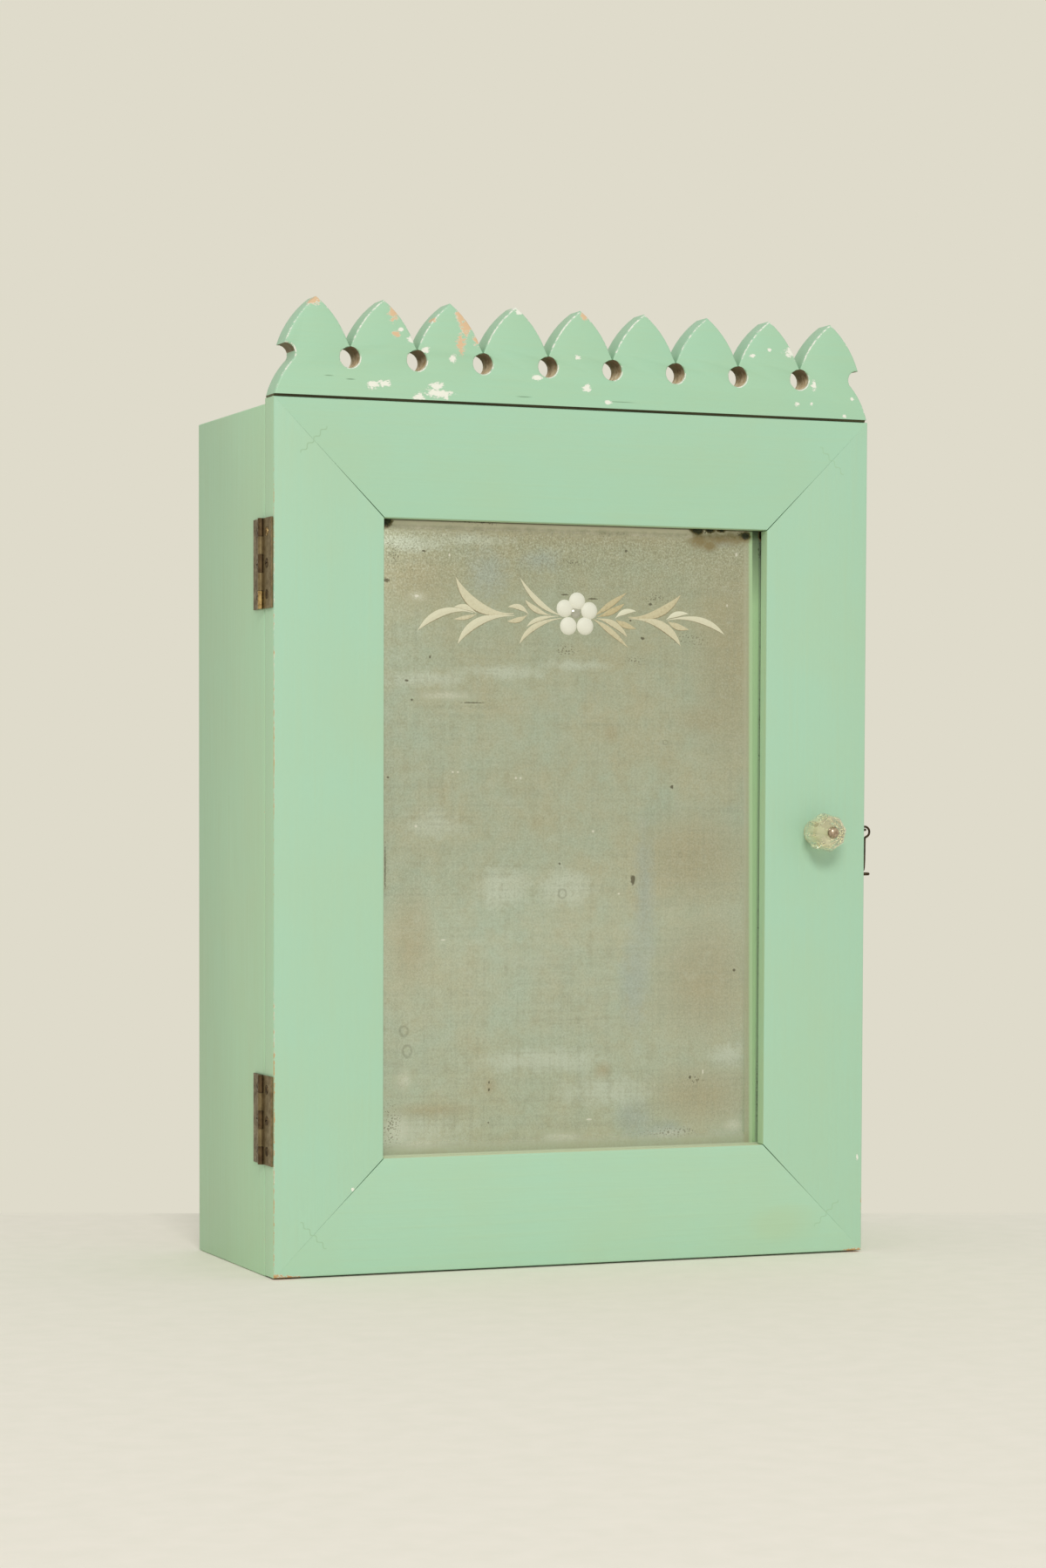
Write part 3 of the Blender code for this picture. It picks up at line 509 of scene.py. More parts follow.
corner_wear = (
    (-185.0, 1.0, 5.0, 1.8), (-177.0, 0.6, 8.0, 1.1), (180.0, 0.8, 6.0, 1.3), (185.3, 27.0, 0.8, 9.0),
    (-95.0, 0.1, 90.0, 0.5), (75.0, 0.1, 105.0, 0.5), (-185.2, 105.0, 0.7, 45.0), (-185.2, 300.0, 0.5, 70.0),
    (-185.2, 35.0, 0.5, 30.0), (-185.2, 420.0, 0.4, 40.0),
)
frame_nicks = ((-137.9, 49.4, 1.0, 0.9), (181.8, 57.3, 0.6, 1.6))
frame_stains = ((128.0, 19.0, 30.0, 17.0),)
# The head's tone is a shade darker than the stiles', as painted shade against the stronger light near the
# top; the foot's is a shade lighter
stile_paint, head_paint, foot_paint = [
    oil_paint(name, tone, aged, grain, 1.5, 1.52, frame_nicks, corner_wear, stains=stains, pine="#c19b67")
    for name, tone, aged, grain, stains in (
        ("oil_paint_stile", "#a6ccaf", "#abc7a4", "Z", frame_stains),
        ("oil_paint_head", "#a3caac", "#a8c5a1", "X", ()),
        ("oil_paint_foot", "#a9cfb2", "#aecaa7", "X", frame_stains),
    )
]
# The lip's inner edge got one thin coat, yellowed most along the sill, where dust lay
lip_paint = oil_paint("oil_paint_lip", "#b0d1ab", "#c0cf9f", "Z", 1.3, 1.6)
sill_paint = oil_paint("oil_paint_sill", "#d4deba", "#d3d5ad", "X", 1.2, 1.6)
opening_half, sill, head = outer_right - member_width, door_bottom + member_width, door_top - member_width


def coat_on(face):
    """Which coat a face of the frame has: 0 the front's, 1 the lip's, 2 the sill's, 3 the cabinet side's."""
    level, upright, place = abs(face.normal.z) > 0.9, abs(face.normal.x) > 0.9, face.center
    if level and abs(place.z - sill) < nearby:
        return 2
    under_head = level and abs(place.z - head) < nearby
    if under_head or (upright and abs(abs(place.x) - opening_half) < nearby):
        return 1
    return 3 if upright and abs(place.x) > outer_right - nearby else 0


# Each length is drawn standing at the left, then turned or mirrored to its own side of the door
door_height, door_width = door_top - door_bottom, outer_right - outer_left
upright = Matrix.Translation((outer_left, 0, door_bottom))
mirrored = Matrix.Translation((outer_right, 0, door_bottom)) @ Matrix.Scale(-1, 4, (1, 0, 0))
laid = Matrix(((0, 0, 1, outer_left), (0, 1, 0, 0), (1, 0, 0, door_bottom), (0, 0, 0, 1)))
hung = Matrix(((0, 0, 1, outer_left), (0, 1, 0, 0), (-1, 0, 0, door_top), (0, 0, 0, 1)))
for node, length, place, skin in (
    ("stile_left", door_height, upright, stile_paint),
    ("stile_right", door_height, mirrored, stile_paint),
    ("rail_bottom", door_width, laid, foot_paint),
    ("rail_top", door_width, hung, head_paint),
):
    member = frame_length(length)
    soften(member, long_edge(front), face_round)
    soften(member, long_edge(back), rear_round)
    bpy.ops.object.mode_set(mode="OBJECT")
    member.data.transform(place)
    bpy.ops.object.mode_set(mode="EDIT")
    bpy.ops.mesh.select_all(action="SELECT")
    bpy.ops.mesh.normals_make_consistent(inside=False)
    settle(member, "painted_" + node, skin, "door", "green_paint", node)
    for coat in (lip_paint, sill_paint, side_paint):
        member.data.materials.append(coat)
    for face in member.data.polygons:
        face.material_index = coat_on(face)

# Corrugated fasteners: wavy strips of steel driven into the face across each mitre. They were painted over,
# and show only as a faint wavy line that stands a hair proud of the paint.
fastener_paint = oil_paint("oil_paint_over_steel", "#a2c6a4", "#94ad8a", "Z", 2.5, 3)
fastener_rise = 0.00034
for corner in ("top_left", "top_right", "bottom_left", "bottom_right"):
    node = "corner_fastener_" + corner
    strip = copy_node(node)
    bpy.ops.mesh.select_all(action="SELECT")
    bpy.ops.transform.translate(value=(0, -fastener_rise, 0))
    settle(strip, "fastener_edge_" + corner, fastener_paint, "door", "green_paint", node)

# Mirror: 3 mm sheet glass, silvered on its back. The silvering has clouded to a grey haze, with brown foxing
# at the edges, so the pane here is the silvering as the eye sees it, a little behind the front of the glass.
pane_low, pane_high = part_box("mirror_glass")
silver_setback, pane_round = 0.0008, 0.0003
# Marks on the silvering, given as the crest's are
milky_patches = (
    (-90.0, 339.0, 28.0, 4.5), (-45.0, 344.0, 30.0, 4.5), (0.0, 348.5, 26.0, 3.5),
    (-44.0, 221.0, 17.0, 12.0), (-3.0, 220.0, 20.0, 11.0), (-86.0, 257.0, 22.0, 9.0),
    (-22.0, 119.0, 44.0, 7.0), (-92.0, 80.0, 30.0, 11.0), (-100.0, 416.0, 20.0, 5.0),
    (-60.0, 419.0, 28.0, 4.0), (100.0, 120.0, 12.0, 8.0), (20.0, 100.0, 30.0, 10.0),
)
browned_patches = (
    (76.0, 236.0, 38.0, 28.0), (86.0, 318.0, 22.0, 12.0), (24.0, 309.0, 6.0, 7.0), (82.0, 96.0, 34.0, 18.0),
    (84.0, 165.0, 32.0, 36.0), (-100.0, 190.0, 14.0, 30.0), (20.0, 112.0, 6.0, 6.0),
    (-85.0, 92.0, 26.0, 5.0), (-51.0, 105.0, 5.0, 6.0), (0.0, 426.0, 125.0, 9.0),
    (-100.0, 396.0, 30.0, 18.0), (100.0, 350.0, 26.0, 70.0),
)
dulled_patches = (
    (46.0, 215.0, 8.0, 45.0), (60.0, 76.0, 14.0, 6.0), (-53.0, 401.0, 14.0, 16.0),
    (-21.0, 408.0, 14.0, 7.0), (40.0, 165.0, 10.0, 30.0), (40.0, 84.0, 12.0, 12.0), (95.5, 423.0, 7.0, 5.0),
)
dark_specks = (
    (63.1, 278.2, 1.2, 1.3), (-8.1, 233.5, 0.8, 0.9), (38.3, 223.6, 1.8, 3.2), (-102.8, 338.1, 1.3, 0.9),
    (-99.6, 327.2, 0.9, 0.7), (-62.0, 326.0, 8.0, 0.4), (-51.7, 107.4, 0.7, 0.9), (-51.7, 103.0, 0.7, 1.1),
    (75.6, 107.0, 0.9, 1.1), (-117.5, 292.0, 0.7, 5.0), (-114.0, 283.0, 1.0, 0.7),
    (-115.5, 232.0, 0.4, 16.0), (43.8, 364.7, 1.4, 1.1), (-92.5, 411.9, 1.2, 0.7),
    (-115.0, 394.6, 2.4, 1.3), (36.0, 375.0, 0.8, 0.7), (48.7, 384.6, 1.3, 1.0), (114.4, 401.6, 1.5, 1.0),
    (33.2, 415.2, 1.2, 0.8), (104.0, 170.0, 1.2, 1.0), (12.0, 387.0, 3.6, 0.5), (-5.5, 389.0, 2.6, 0.5),
    (-88.5, 351.7, 0.7, 0.9), (-52.0, 84.0, 0.6, 0.6),
)
white_specks = (
    (-74.5, 286.2, 0.9, 0.7), (-71.3, 286.2, 0.9, 0.7), (-35.6, 282.9, 0.9, 0.9), (-32.6, 282.9, 0.9, 0.9),
    (-96.9, 255.2, 1.0, 1.0), (12.9, 252.2, 1.0, 0.9), (29.4, 215.7, 0.9, 0.7), (103.8, 415.0, 0.9, 1.6),
    (-76.8, 410.0, 0.7, 1.1), (-96.8, 386.3, 1.8, 1.0), (11.0, 84.0, 2.2, 0.7), (98.0, 385.0, 0.7, 1.0),
    (84.0, 110.0, 0.7, 2.0), (-80.0, 190.0, 2.0, 0.5),
)
ring_marks = (
    (-6.2, 216.0, 2.4, 2.5), (58.7, 304.2, 1.5, 1.3), (68.6, 238.3, 1.2, 1.4), (-104.0, 138.0, 2.6, 3.0),
    (-102.0, 126.5, 2.6, 3.2),
)
speck_clouds = (
    (-2.0, 408.0, 11.0, 5.0), (52.9, 388.0, 12.0, 5.0), (-5.0, 357.0, 9.0, 4.0), (-58.0, 426.0, 12.0, 3.0),
    (-75.0, 427.0, 6.0, 2.5), (20.0, 425.0, 60.0, 2.5), (-112.0, 410.0, 8.0, 10.0),
    (75.0, 365.0, 14.0, 5.0), (-112.0, 84.0, 7.0, 16.0), (40.0, 352.0, 8.0, 3.0), (80.0, 105.0, 6.0, 4.0),
    (64.0, 74.0, 20.0, 5.0),
)
foxing = (
    (-117.5, 430.0, 7.5, 6.5), (78.2, 428.4, 5.6, 3.0), (86.5, 429.0, 4.0, 2.4), (94.0, 429.0, 3.5, 2.2),
    (110.0, 426.0, 4.0, 3.0), (119.5, 427.0, 2.0, 5.0), (-119.5, 66.5, 2.5, 2.5),
)
edge_specks = (
    (121.0, 330.0, 3.4, 90.0), (121.5, 200.0, 3.4, 90.0), (121.0, 100.0, 4.0, 40.0),
    (120.0, 418.0, 4.0, 10.0), (-121.0, 300.0, 1.4, 40.0), (-121.0, 190.0, 1.2, 50.0),
    (10.0, 431.5, 130.0, 2.4), (80.0, 428.0, 10.0, 3.0), (107.0, 427.0, 8.0, 2.6),
    (-60.0, 430.0, 26.0, 3.6),
)
rust_patches = (
    (80.0, 422.5, 9.0, 6.0), (86.0, 420.0, 7.0, 4.5), (108.0, 425.0, 7.0, 4.0), (96.0, 424.0, 18.0, 5.0),
)
flaked_corners = (
    (-108.0, 82.0, 16.0, 20.0), (-95.0, 72.0, 30.0, 7.0), (-104.0, 110.0, 10.0, 12.0),
    (62.0, 74.0, 24.0, 7.0), (-96.0, 386.0, 10.0, 6.0), (-6.0, 74.0, 26.0, 6.0), (104.0, 78.0, 12.0, 8.0),
    (-78.0, 330.0, 34.0, 5.0),
)


def clouded_silver():
    """Old silvering: a grey-olive haze, wiped in pale bands, browned in patches, freckled with specks, and
    foxed black where damp got in at the edges. A strip down the right is clear, and it and the border beside
    it are tinted green as a painted reflection of the lip. Painted light lifts the top of the border out of
    the rail's shadow, and painted shade marks the rail's edge and the top of the clear strip."""
    made, tree, place = blank("clouded_silvering")
    # Haze in clouds of about 45 mm, mottling of about 9 mm and grit of about 1 mm
    haze, mottle, grit = [
        add(tree, "TexNoise", {"Vector": place, "Scale": scale, "Detail": detail, "Roughness": rough})["Fac"]
        for scale, detail, rough in ((22, 8, 0.68), (110, 7, 0.75), (900, 5, 0.75))
    ]
    dots = add(tree, "TexVoronoi", {"Vector": place, "Scale": 760})["Distance"]
    # Wiping marks cross each other about 2 mm apart
    upright = add(tree, "Mapping", {"Vector": place, "Scale": (500, 500, 14)})[0]
    level = add(tree, "Mapping", {"Vector": place, "Scale": (14, 500, 500)})[0]
    warp = add(tree, "TexNoise", {"Vector": upright, "Scale": 1, "Detail": 3})["Fac"]
    weft = add(tree, "TexNoise", {"Vector": level, "Scale": 1, "Detail": 3})["Fac"]
    wiped = add(tree, "Math", {0: warp, 1: weft}, operation="ADD")[0]
    freckled = add(tree, "Math", {0: mottle, 1: 0.5, 2: grit}, operation="MULTIPLY_ADD")[0]

    def ragged(marks, noise, amount):
        """Distance to the nearest mark, made uneven by a noise."""
        gap = nearest_mark(tree, place, marks, reach=40)
        return add(tree, "Math", {0: noise, 1: amount, 2: gap}, operation="MULTIPLY_ADD")[0]

    def soft(marks):
        """Distance to the nearest mark, made uneven twice over, for a patch with a soft rim."""
        gap = ragged(marks, mottle, 1.5)
        return add(tree, "Math", {0: haze, 1: 1.2, 2: gap}, operation="MULTIPLY_ADD")[0]

    rim, core = 2.55, 1.7
    speckled = ragged(speck_clouds, mottle, 1.8)
    speckled = add(tree, "Math", {0: dots, 1: 3.0, 2: speckled}, operation="MULTIPLY_ADD")[0]
    ringed = ragged(ring_marks, mottle, 1.0)
    ringed = add(tree, "Math", {0: ringed, 1: 1.5}, operation="SUBTRACT")[0]
    ringed = add(tree, "Math", {0: ringed}, operation="ABSOLUTE")[0]
    creep = ragged(foxing, mottle, 1.6)
    along = add(tree, "SeparateXYZ", {"Vector": place})
    # The haze stops short of the right-hand edge, along a line that leans a little
    lean = add(tree, "Math", {0: along["Z"], 1: 0.007, 2: along["X"]}, operation="MULTIPLY_ADD")[0]
    frayed = add(tree, "Math", {0: mottle, 1: 0.006, 2: along["Z"]}, operation="MULTIPLY_ADD")[0]
    # What hides the silver or has left it bare: what each follows, where it starts, where it is full, and how
    # much of it there is then
    bare_head, bare_foot, bare_side, clear, rusted, foxed, dusty, damp = [
        add(tree, "MapRange", {"Value": value, "From Min": start, "From Max": end, "To Max": most})[0]
        for value, start, end, most in (
            (frayed, 0.4248, 0.4282, 1),
            (frayed, 0.0776, 0.0748, 1),
            (lean, 0.1106, 0.1126, 1),
            (lean, 0.1168, 0.1174, 1),
            (soft(rust_patches), rim, core, 0.85),
            (creep, 1.75, 1.55, 1),
            (along["Z"], 0.0674, 0.0667, 1),
            (along["Z"], 0.385, 0.415, 1),
        )
    ]
    # Damp has left it grittier along the top than in the wiped middle
    pale_pits = add(tree, "Math", {0: damp, 1: 0.39, 2: 0.30}, operation="MULTIPLY_ADD")[0]
    dark_pits = add(tree, "Math", {0: damp, 1: 0.416, 2: 0.32}, operation="MULTIPLY_ADD")[0]
    darkening = add(tree, "Math", {0: clear, 1: 0.8}, operation="MULTIPLY")[0]

    clouding = add(tree, "MapRange", {"Value": haze, "From Min": 0.36, "From Max": 0.64})[0]
    tones = {0: clouding, 6: colour("#b4c2ae"), 7: colour("#bcbca0")}
    tint = add(tree, "Mix", tones, data_type="RGBA")[2]
    # Colours laid over the haze in turn, given in the same way
    for value, start, end, most, code in (
        # The haze is browner towards the top and paler towards the sill
        (along["Z"], 0.33, 0.43, 0.45, "#a39f7c"),
        (along["Z"], 0.25, 0.07, 0.2, "#c6d2bd"),
        # Patches, wiping, mottle, grit and specks
        (soft(browned_patches), rim, core, 0.6, "#b3a988"),
        (soft(dulled_patches), rim, core, 0.7, "#adb9b0"),
        (soft(milky_patches), rim, core, 0.65, "#cfd8c8"),
        (wiped, 0.98, 1.35, 0.34, "#9fa591"),
        (mottle, 0.52, 0.72, 0.38, "#a29f80"),
        (mottle, 0.48, 0.3, 0.31, "#c6d0c0"),
        (grit, 0.5, 0.7, pale_pits, "#dde3d5"),
        (grit, 0.5, 0.32, dark_pits, "#83826a"),
        (ragged(flaked_corners, grit, 2.4), 1.75, 1.35, 0.6, "#dfe2d2"),
        (freckled, 0.93, 0.99, 0.75, "#6d5f42"),
        (speckled, 2.5, 2.1, 0.6, "#5f563c"),
        (ragged(dark_specks, grit, 1.4), 1.7, 1.4, 0.8, "#544d38"),
        (ragged(white_specks, grit, 1.6), 1.7, 1.4, 0.7, "#f0eee2"),
        (ringed, 0.35, 0.1, 0.3, "#6b6a50"),
        # Round its border the silvering has gone, and beside the right-hand lip the border is painted green
        # as a reflection of the lip
        (bare_head, 0, 1, 0.65, "#a5a084"),
        # Painted light: the top of the border is lightened where the rail's shadow falls on it
        (frayed, 0.4274, 0.4302, 0.8, "#f3e7d2"),
        (bare_foot, 0, 1, 0.6, "#a3a58a"),
        (bare_side, 0, 1, 0.65, "#a5a084"),
        (lean, 0.1144, 0.1156, 0.85, "#b2cea2"),
        (rusted, 0, 1, 1, "#7b6837"),
        # Painted shade: the rail's shadow along the top of the pane. The clear strip is tinted green as a
        # painted reflection of the lip, and painted shade darkens it towards its top
        (along["Z"], 0.4284, 0.4292, 0.9, "#55502f"),
        (clear, 0, 1, 1, "#bcd4ad"),
        (along["Z"], 0.385, 0.425, darkening, "#4f5546"),
        # Foxing creeps in from the edges, and dust lies along the sill
        (foxed, 0, 1, 1, "#77663f"),
        (creep, 1.6, 1.35, 1, "#2c2819"),
        (ragged(edge_specks, grit, 3.0), 1.9, 1.7, 0.85, "#39361f"),
        (dusty, 0, 1, 1, "#e0e6c4"),
    ):
        limits = {"Value": value, "From Min": start, "From Max": end, "To Max": most}
        cover = add(tree, "MapRange", limits)[0]
        tint = add(tree, "Mix", {0: cover, 6: tint, 7: colour(code)}, data_type="RGBA")[2]

    dulled = rusted
    for bare in (bare_head, bare_foot, bare_side):
        dulled = add(tree, "Math", {0: dulled, 1: bare}, operation="MAXIMUM")[0]
    silver = 0.8
    for cover, shine in ((dulled, 0.1), (clear, 0.5), (foxed, 0.1), (dusty, 0.0)):
        silver = add(tree, "Mix", {0: cover, 2: silver, 3: shine})[0]
    blur = add(tree, "MapRange", {"Value": grit, "To Min": 0.12, "To Max": 0.24})[0]
    blur = add(tree, "Mix", {0: clear, 2: blur, 3: 0.04})[0]
    glass = {"Coat Weight": 0.4, "Coat Roughness": 0.03}
    inputs = {"Base Color": tint, "Metallic": silver, "Roughness": blur}
    show(tree, add(tree, "BsdfPrincipled", inputs | glass))
    return made


bpy.ops.object.select_all(action="DESELECT")
bpy.ops.mesh.primitive_cube_add(size=1)
pane = bpy.context.object
bpy.ops.object.mode_set(mode="EDIT")
pane_size = pane_high - pane_low - Vector((0, silver_setback, 0))
bpy.ops.transform.resize(value=pane_size)
bpy.ops.transform.translate(value=(pane_low + pane_high + Vector((0, silver_setback, 0))) / 2)
pane_face = pane_low.y + silver_setback
bpy.ops.mesh.select_mode(type="EDGE")
bpy.ops.mesh.select_all(action="SELECT")
bpy.ops.mesh.bevel(offset=pane_round, segments=2)
settle(pane, "silvered_pane", clouded_silver(), "door", "aged_mirror", "mirror_glass")

# Engraving: a spray of one flower and its leaves, wheel-cut into the back of the glass before silvering. Each
# leaf is a shallow V-cut with a frosted floor, and the flower is five round cuts about a polished dimple.


def frosted_cut(name, fresh, browned_to):
    """Wheel-cut glass left unpolished: matt cream, browned by the old silvering all over some of the cuts,
    and darkened along the edges of each cut by painted shade, heaviest on the lower edge, over some browning."""
    made, tree, place = blank(name)
    browned = add(tree, "Attribute", {}, attribute_name="browned")["Fac"]
    grains = {"Vector": place, "Scale": 600, "Detail": 5, "Roughness": 0.7}
    specks = add(tree, "TexNoise", grains)["Fac"]
    limits = {"Value": specks, "From Min": 0.5, "From Max": 0.72, "To Max": 0.8}
    soiled = add(tree, "MapRange", limits)[0]
    soiled = add(tree, "Math", {0: soiled, 1: browned}, operation="MULTIPLY")[0]
    tones = {0: browned, 6: colour(fresh), 7: colour(browned_to)}
    tint = add(tree, "Mix", tones, data_type="RGBA")[2]
    tint = add(tree, "Mix", {0: soiled, 6: tint, 7: colour("#8f8058")}, data_type="RGBA")[2]
    # The dark line along the edges of each cut is painted shade, heaviest on the lower edge, over some
    # browning by the silvering
    rim = add(tree, "Attribute", {}, attribute_name="rim")["Fac"]
    rim = add(tree, "Math", {0: specks, 1: 0.5, 2: rim}, operation="MULTIPLY_ADD")[0]
    limits = {"Value": rim, "From Min": 0.8, "From Max": 1.1, "To Max": 0.9}
    stained = add(tree, "MapRange", limits)[0]
    tint = add(tree, "Mix", {0: stained, 6: tint, 7: colour("#756440")}, data_type="RGBA")[2]
    normal = add(tree, "Bump", {"Height": specks, "Strength": 0.3, "Distance": 0.0002})[0]
    show(tree, add(tree, "BsdfPrincipled", {"Base Color": tint, "Roughness": 0.55, "Normal": normal}))
    return made


leaf_cut = frosted_cut("frosted_leaf_cut", "#d6d3b8", "#bcae84")
petal_cut = frosted_cut("frosted_petal_cut", "#dedccb", "#dbd8c4")
# Each leaf: root, a point half-way along its bend, and tip in millimetres, its greatest width and where along
# it that comes, and how browned it is
leaves = (
    ((-62.1, 377.4), (-80.1, 377.5), (-96.0, 366.8), 4.7, 0.62, 0.15),
    ((-60.5, 377.3), (-66.8, 380.4), (-73.9, 380.4), 3.4, 0.5, 0.2),
    ((-60.1, 376.8), (-66.4, 374.6), (-74.2, 373.5), 2.5, 0.5, 0.5),
    ((-37.3, 377.4), (-59.5, 381.1), (-72.9, 397.4), 6.4, 0.55, 0.35),
    ((-36.9, 376.2), (-58.5, 372.4), (-71.6, 359.5), 5.0, 0.58, 0.2),
    ((-28.1, 377.2), (-33.7, 381.1), (-40.8, 381.1), 3.4, 0.5, 0.3),
    ((-28.9, 376.8), (-34.5, 373.8), (-41.2, 373.0), 3.1, 0.5, 0.55),
    ((-7.4, 376.9), (-21.8, 384.3), (-33.4, 398.2), 3.5, 0.5, 0.25),
    ((-14.2, 376.9), (-23.6, 380.0), (-30.1, 385.5), 3.4, 0.5, 0.4),
    ((-9.4, 376.5), (-21.4, 374.6), (-29.1, 370.1), 2.7, 0.55, 0.25),
    ((-7.4, 375.4), (-23.7, 370.3), (-33.6, 360.2), 3.5, 0.55, 0.35),
    ((12.7, 376.8), (22.6, 383.5), (33.3, 390.9), 3.6, 0.5, 0.9),
    ((14.8, 376.5), (24.2, 379.9), (32.1, 384.6), 3.6, 0.5, 1.0),
    ((14.4, 375.7), (25.5, 372.5), (34.0, 365.1), 3.8, 0.5, 0.5),
    ((12.3, 375.3), (22.6, 368.9), (34.7, 359.0), 3.5, 0.5, 0.65),
    ((26.3, 376.0), (32.1, 379.7), (39.6, 380.4), 3.4, 0.5, 0.0),
    ((26.7, 375.1), (32.1, 372.3), (39.6, 370.2), 3.6, 0.5, 0.85),
    ((34.6, 376.9), (52.9, 379.2), (67.9, 390.4), 5.2, 0.58, 0.7),
    ((35.4, 375.9), (55.0, 372.7), (68.1, 360.6), 5.2, 0.6, 0.4),
    ((58.8, 375.9), (65.1, 379.0), (73.0, 379.6), 3.4, 0.5, 0.0),
    ((59.6, 375.1), (65.5, 372.0), (73.5, 370.4), 3.8, 0.5, 0.6),
    ((59.6, 375.7), (79.8, 376.1), (96.3, 367.8), 3.9, 0.62, 0.15),
)
leaf_steps, valley_rise, cut_lift = 16, 0.00028, 0.00004
# The cuts curve and taper along their length, so each is lofted from rows of five points
spray = bmesh.new()
rim_layer = spray.verts.layers.float.new("rim")
browned_layer = spray.verts.layers.float.new("browned")
for root, bend, tip, width, belly, browned in leaves:
    root, bend, tip = Vector(root), Vector(bend), Vector(tip)
    pull = 2 * bend - (root + tip) / 2
    # The lower edge gets the most painted shade, whichever way the leaf points
    under = 1 if tip.x < root.x else -1
    rows = []
    for step in range(leaf_steps + 1):
        t = step / leaf_steps
        middle = (1 - t) ** 2 * root + 2 * t * (1 - t) * pull + t * t * tip
        way = ((1 - t) * (pull - root) + t * (tip - pull)).normalized()
        # It swells from a narrow root to its belly, then tapers to a point
        if t < belly:
            swell = 0.08 + 0.92 * math.sin(math.pi / 2 * t / belly) ** 1.7
        else:
            swell = math.cos(math.pi / 2 * 0.99 * (t - belly) / (1 - belly)) ** 0.9
        side = Vector((-way.y, way.x)) * swell * width / 2
        row = []
        # Five points across the leaf, from its upper edge to its lower, and how much painted shade each has
        for across, rim in ((-1, 0.6), (-0.6, 0), (0, 0), (0.6, 0.2), (1, 1)):
            point = middle + across * under * side
            rise = cut_lift + valley_rise * swell * width / 4 * (1 - abs(across))
            vertex = spray.verts.new((point.x / 1000, pane_face - rise, point.y / 1000))
            vertex[rim_layer] = rim
            vertex[browned_layer] = browned
            row.append(vertex)
        rows.append(row)
    for here, there in zip(rows, rows[1:]):
        for index in range(4):
            spray.faces.new((here[index], there[index], there[index + 1], here[index + 1]))
for face in spray.faces:
    face.normal_update()
    if face.normal.y > 0:
        face.normal_flip()
spray_mesh = bpy.data.meshes.new("engraved_leaves")
spray.to_mesh(spray_mesh)
spray.free()
engraving = bpy.data.objects.new("engraved_leaves", spray_mesh)
bpy.context.collection.objects.link(engraving)
engraving.data.materials.append(leaf_cut)
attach(engraving, "door")


def polished_cut():
    """A dimple ground and polished clear, so it throws back a small bright window and is grey elsewhere."""
    made, tree, place = blank("polished_cut")
    smear = add(tree, "TexNoise", {"Vector": place, "Scale": 400, "Detail": 3})["Fac"]
    tones = {0: smear, 6: colour("#c9c9bb"), 7: colour("#a3a393")}
    tint = add(tree, "Mix", tones, data_type="RGBA")[2]
    gloss = add(tree, "MapRange", {"Value": smear, "To Min": 0.08, "To Max": 0.2})[0]
    show(tree, add(tree, "BsdfPrincipled", {"Base Color": tint, "Roughness": gloss, "Metallic": 0.7}))
    return made


# Each round cut: its middle and its radius in millimetres
petals = [(2.2, 385.4, 5.1), (-5.5, 381.1, 5.1), (9.8, 380.0, 5.1), (-3.2, 371.0, 5.2), (7.3, 371.1, 5.2)]
dimple = (1.4, 378.6, 3.2)
dimple_skin = polished_cut()
for index, (x, z, radius) in enumerate(petals + [dimple]):
    bpy.ops.object.select_all(action="DESELECT")
    bpy.ops.mesh.primitive_circle_add(vertices=32, radius=radius / 1000, fill_type="NGON")
    cut = bpy.context.object
    bpy.ops.object.mode_set(mode="EDIT")
    bpy.ops.mesh.select_mode(type="FACE")
    for inset, rise in ((0.10, 0.10), (0.20, 0.11), (0.25, 0.07), (0.25, 0.03)):
        bpy.ops.mesh.inset(thickness=inset * radius / 1000)
        bpy.ops.transform.translate(value=(0, 0, rise * radius / 1000))
    bpy.ops.object.mode_set(mode="OBJECT")
    middle = Matrix.Translation((x / 1000, pane_face - cut_lift, z / 1000))
    cut.data.transform(middle @ Matrix.Rotation(math.pi / 2, 4, "X"))
    last = index == len(petals)
    name = "engraved_flower_middle" if last else f"engraved_petal_{index + 1}"
    settle(cut, name, dimple_skin if last else petal_cut, "door", "aged_mirror")

# Backing and brads: a thin bare board behind the pane, held in the rabbet by six headless brads.
# The board is never seen with the door shut, and it has browned with age.
dress("mirror_backing", grained_wood("bare_backing_board", "#8b704e", "#745a3b", "Z"))
for spot in ("top", "bottom", "left_upper", "left_lower", "right_upper", "right_lower"):
    dress("brad_" + spot, brown_steel)

# Hinges: two-inch butt hinges of plated steel, with five knuckles on a pin, each leaf held flat to the
# outside by three screws. The plating has gone dark brown, with brass showing where it is rubbed.
hinge_skins = {
    "carcass": tarnished_metal("tarnished_hinge_plate", "#7e6e4c", "#5a4a2f", (0.35, 0.55), 260, 0.75),
    "door": tarnished_metal("tarnished_hinge_plate_pale", "#887855", "#6a5a3c", (0.35, 0.55), 260, 0.75),
}
rubbed_brass = tarnished_metal("rubbed_brass", "#d8bb80", "#6f532f", (0.2, 0.45), 700)
# A darker copy of the plating, as painted shade on the carcass leaf's knuckles
shaded_knuckle = tarnished_metal("shaded_knuckle", "#6b573a", "#483723", (0.35, 0.55), 260, 0.75)
leaf_round, barrel_reach, knuckles = 0.0002, 0.0036, 5


def plate_edge(edge):
    """A test for the leaf's long sharp edges, leaving out the short ones round its holes and knuckles."""
    return edge.calc_length() > 0.004 and edge.calc_face_angle(0) > 1


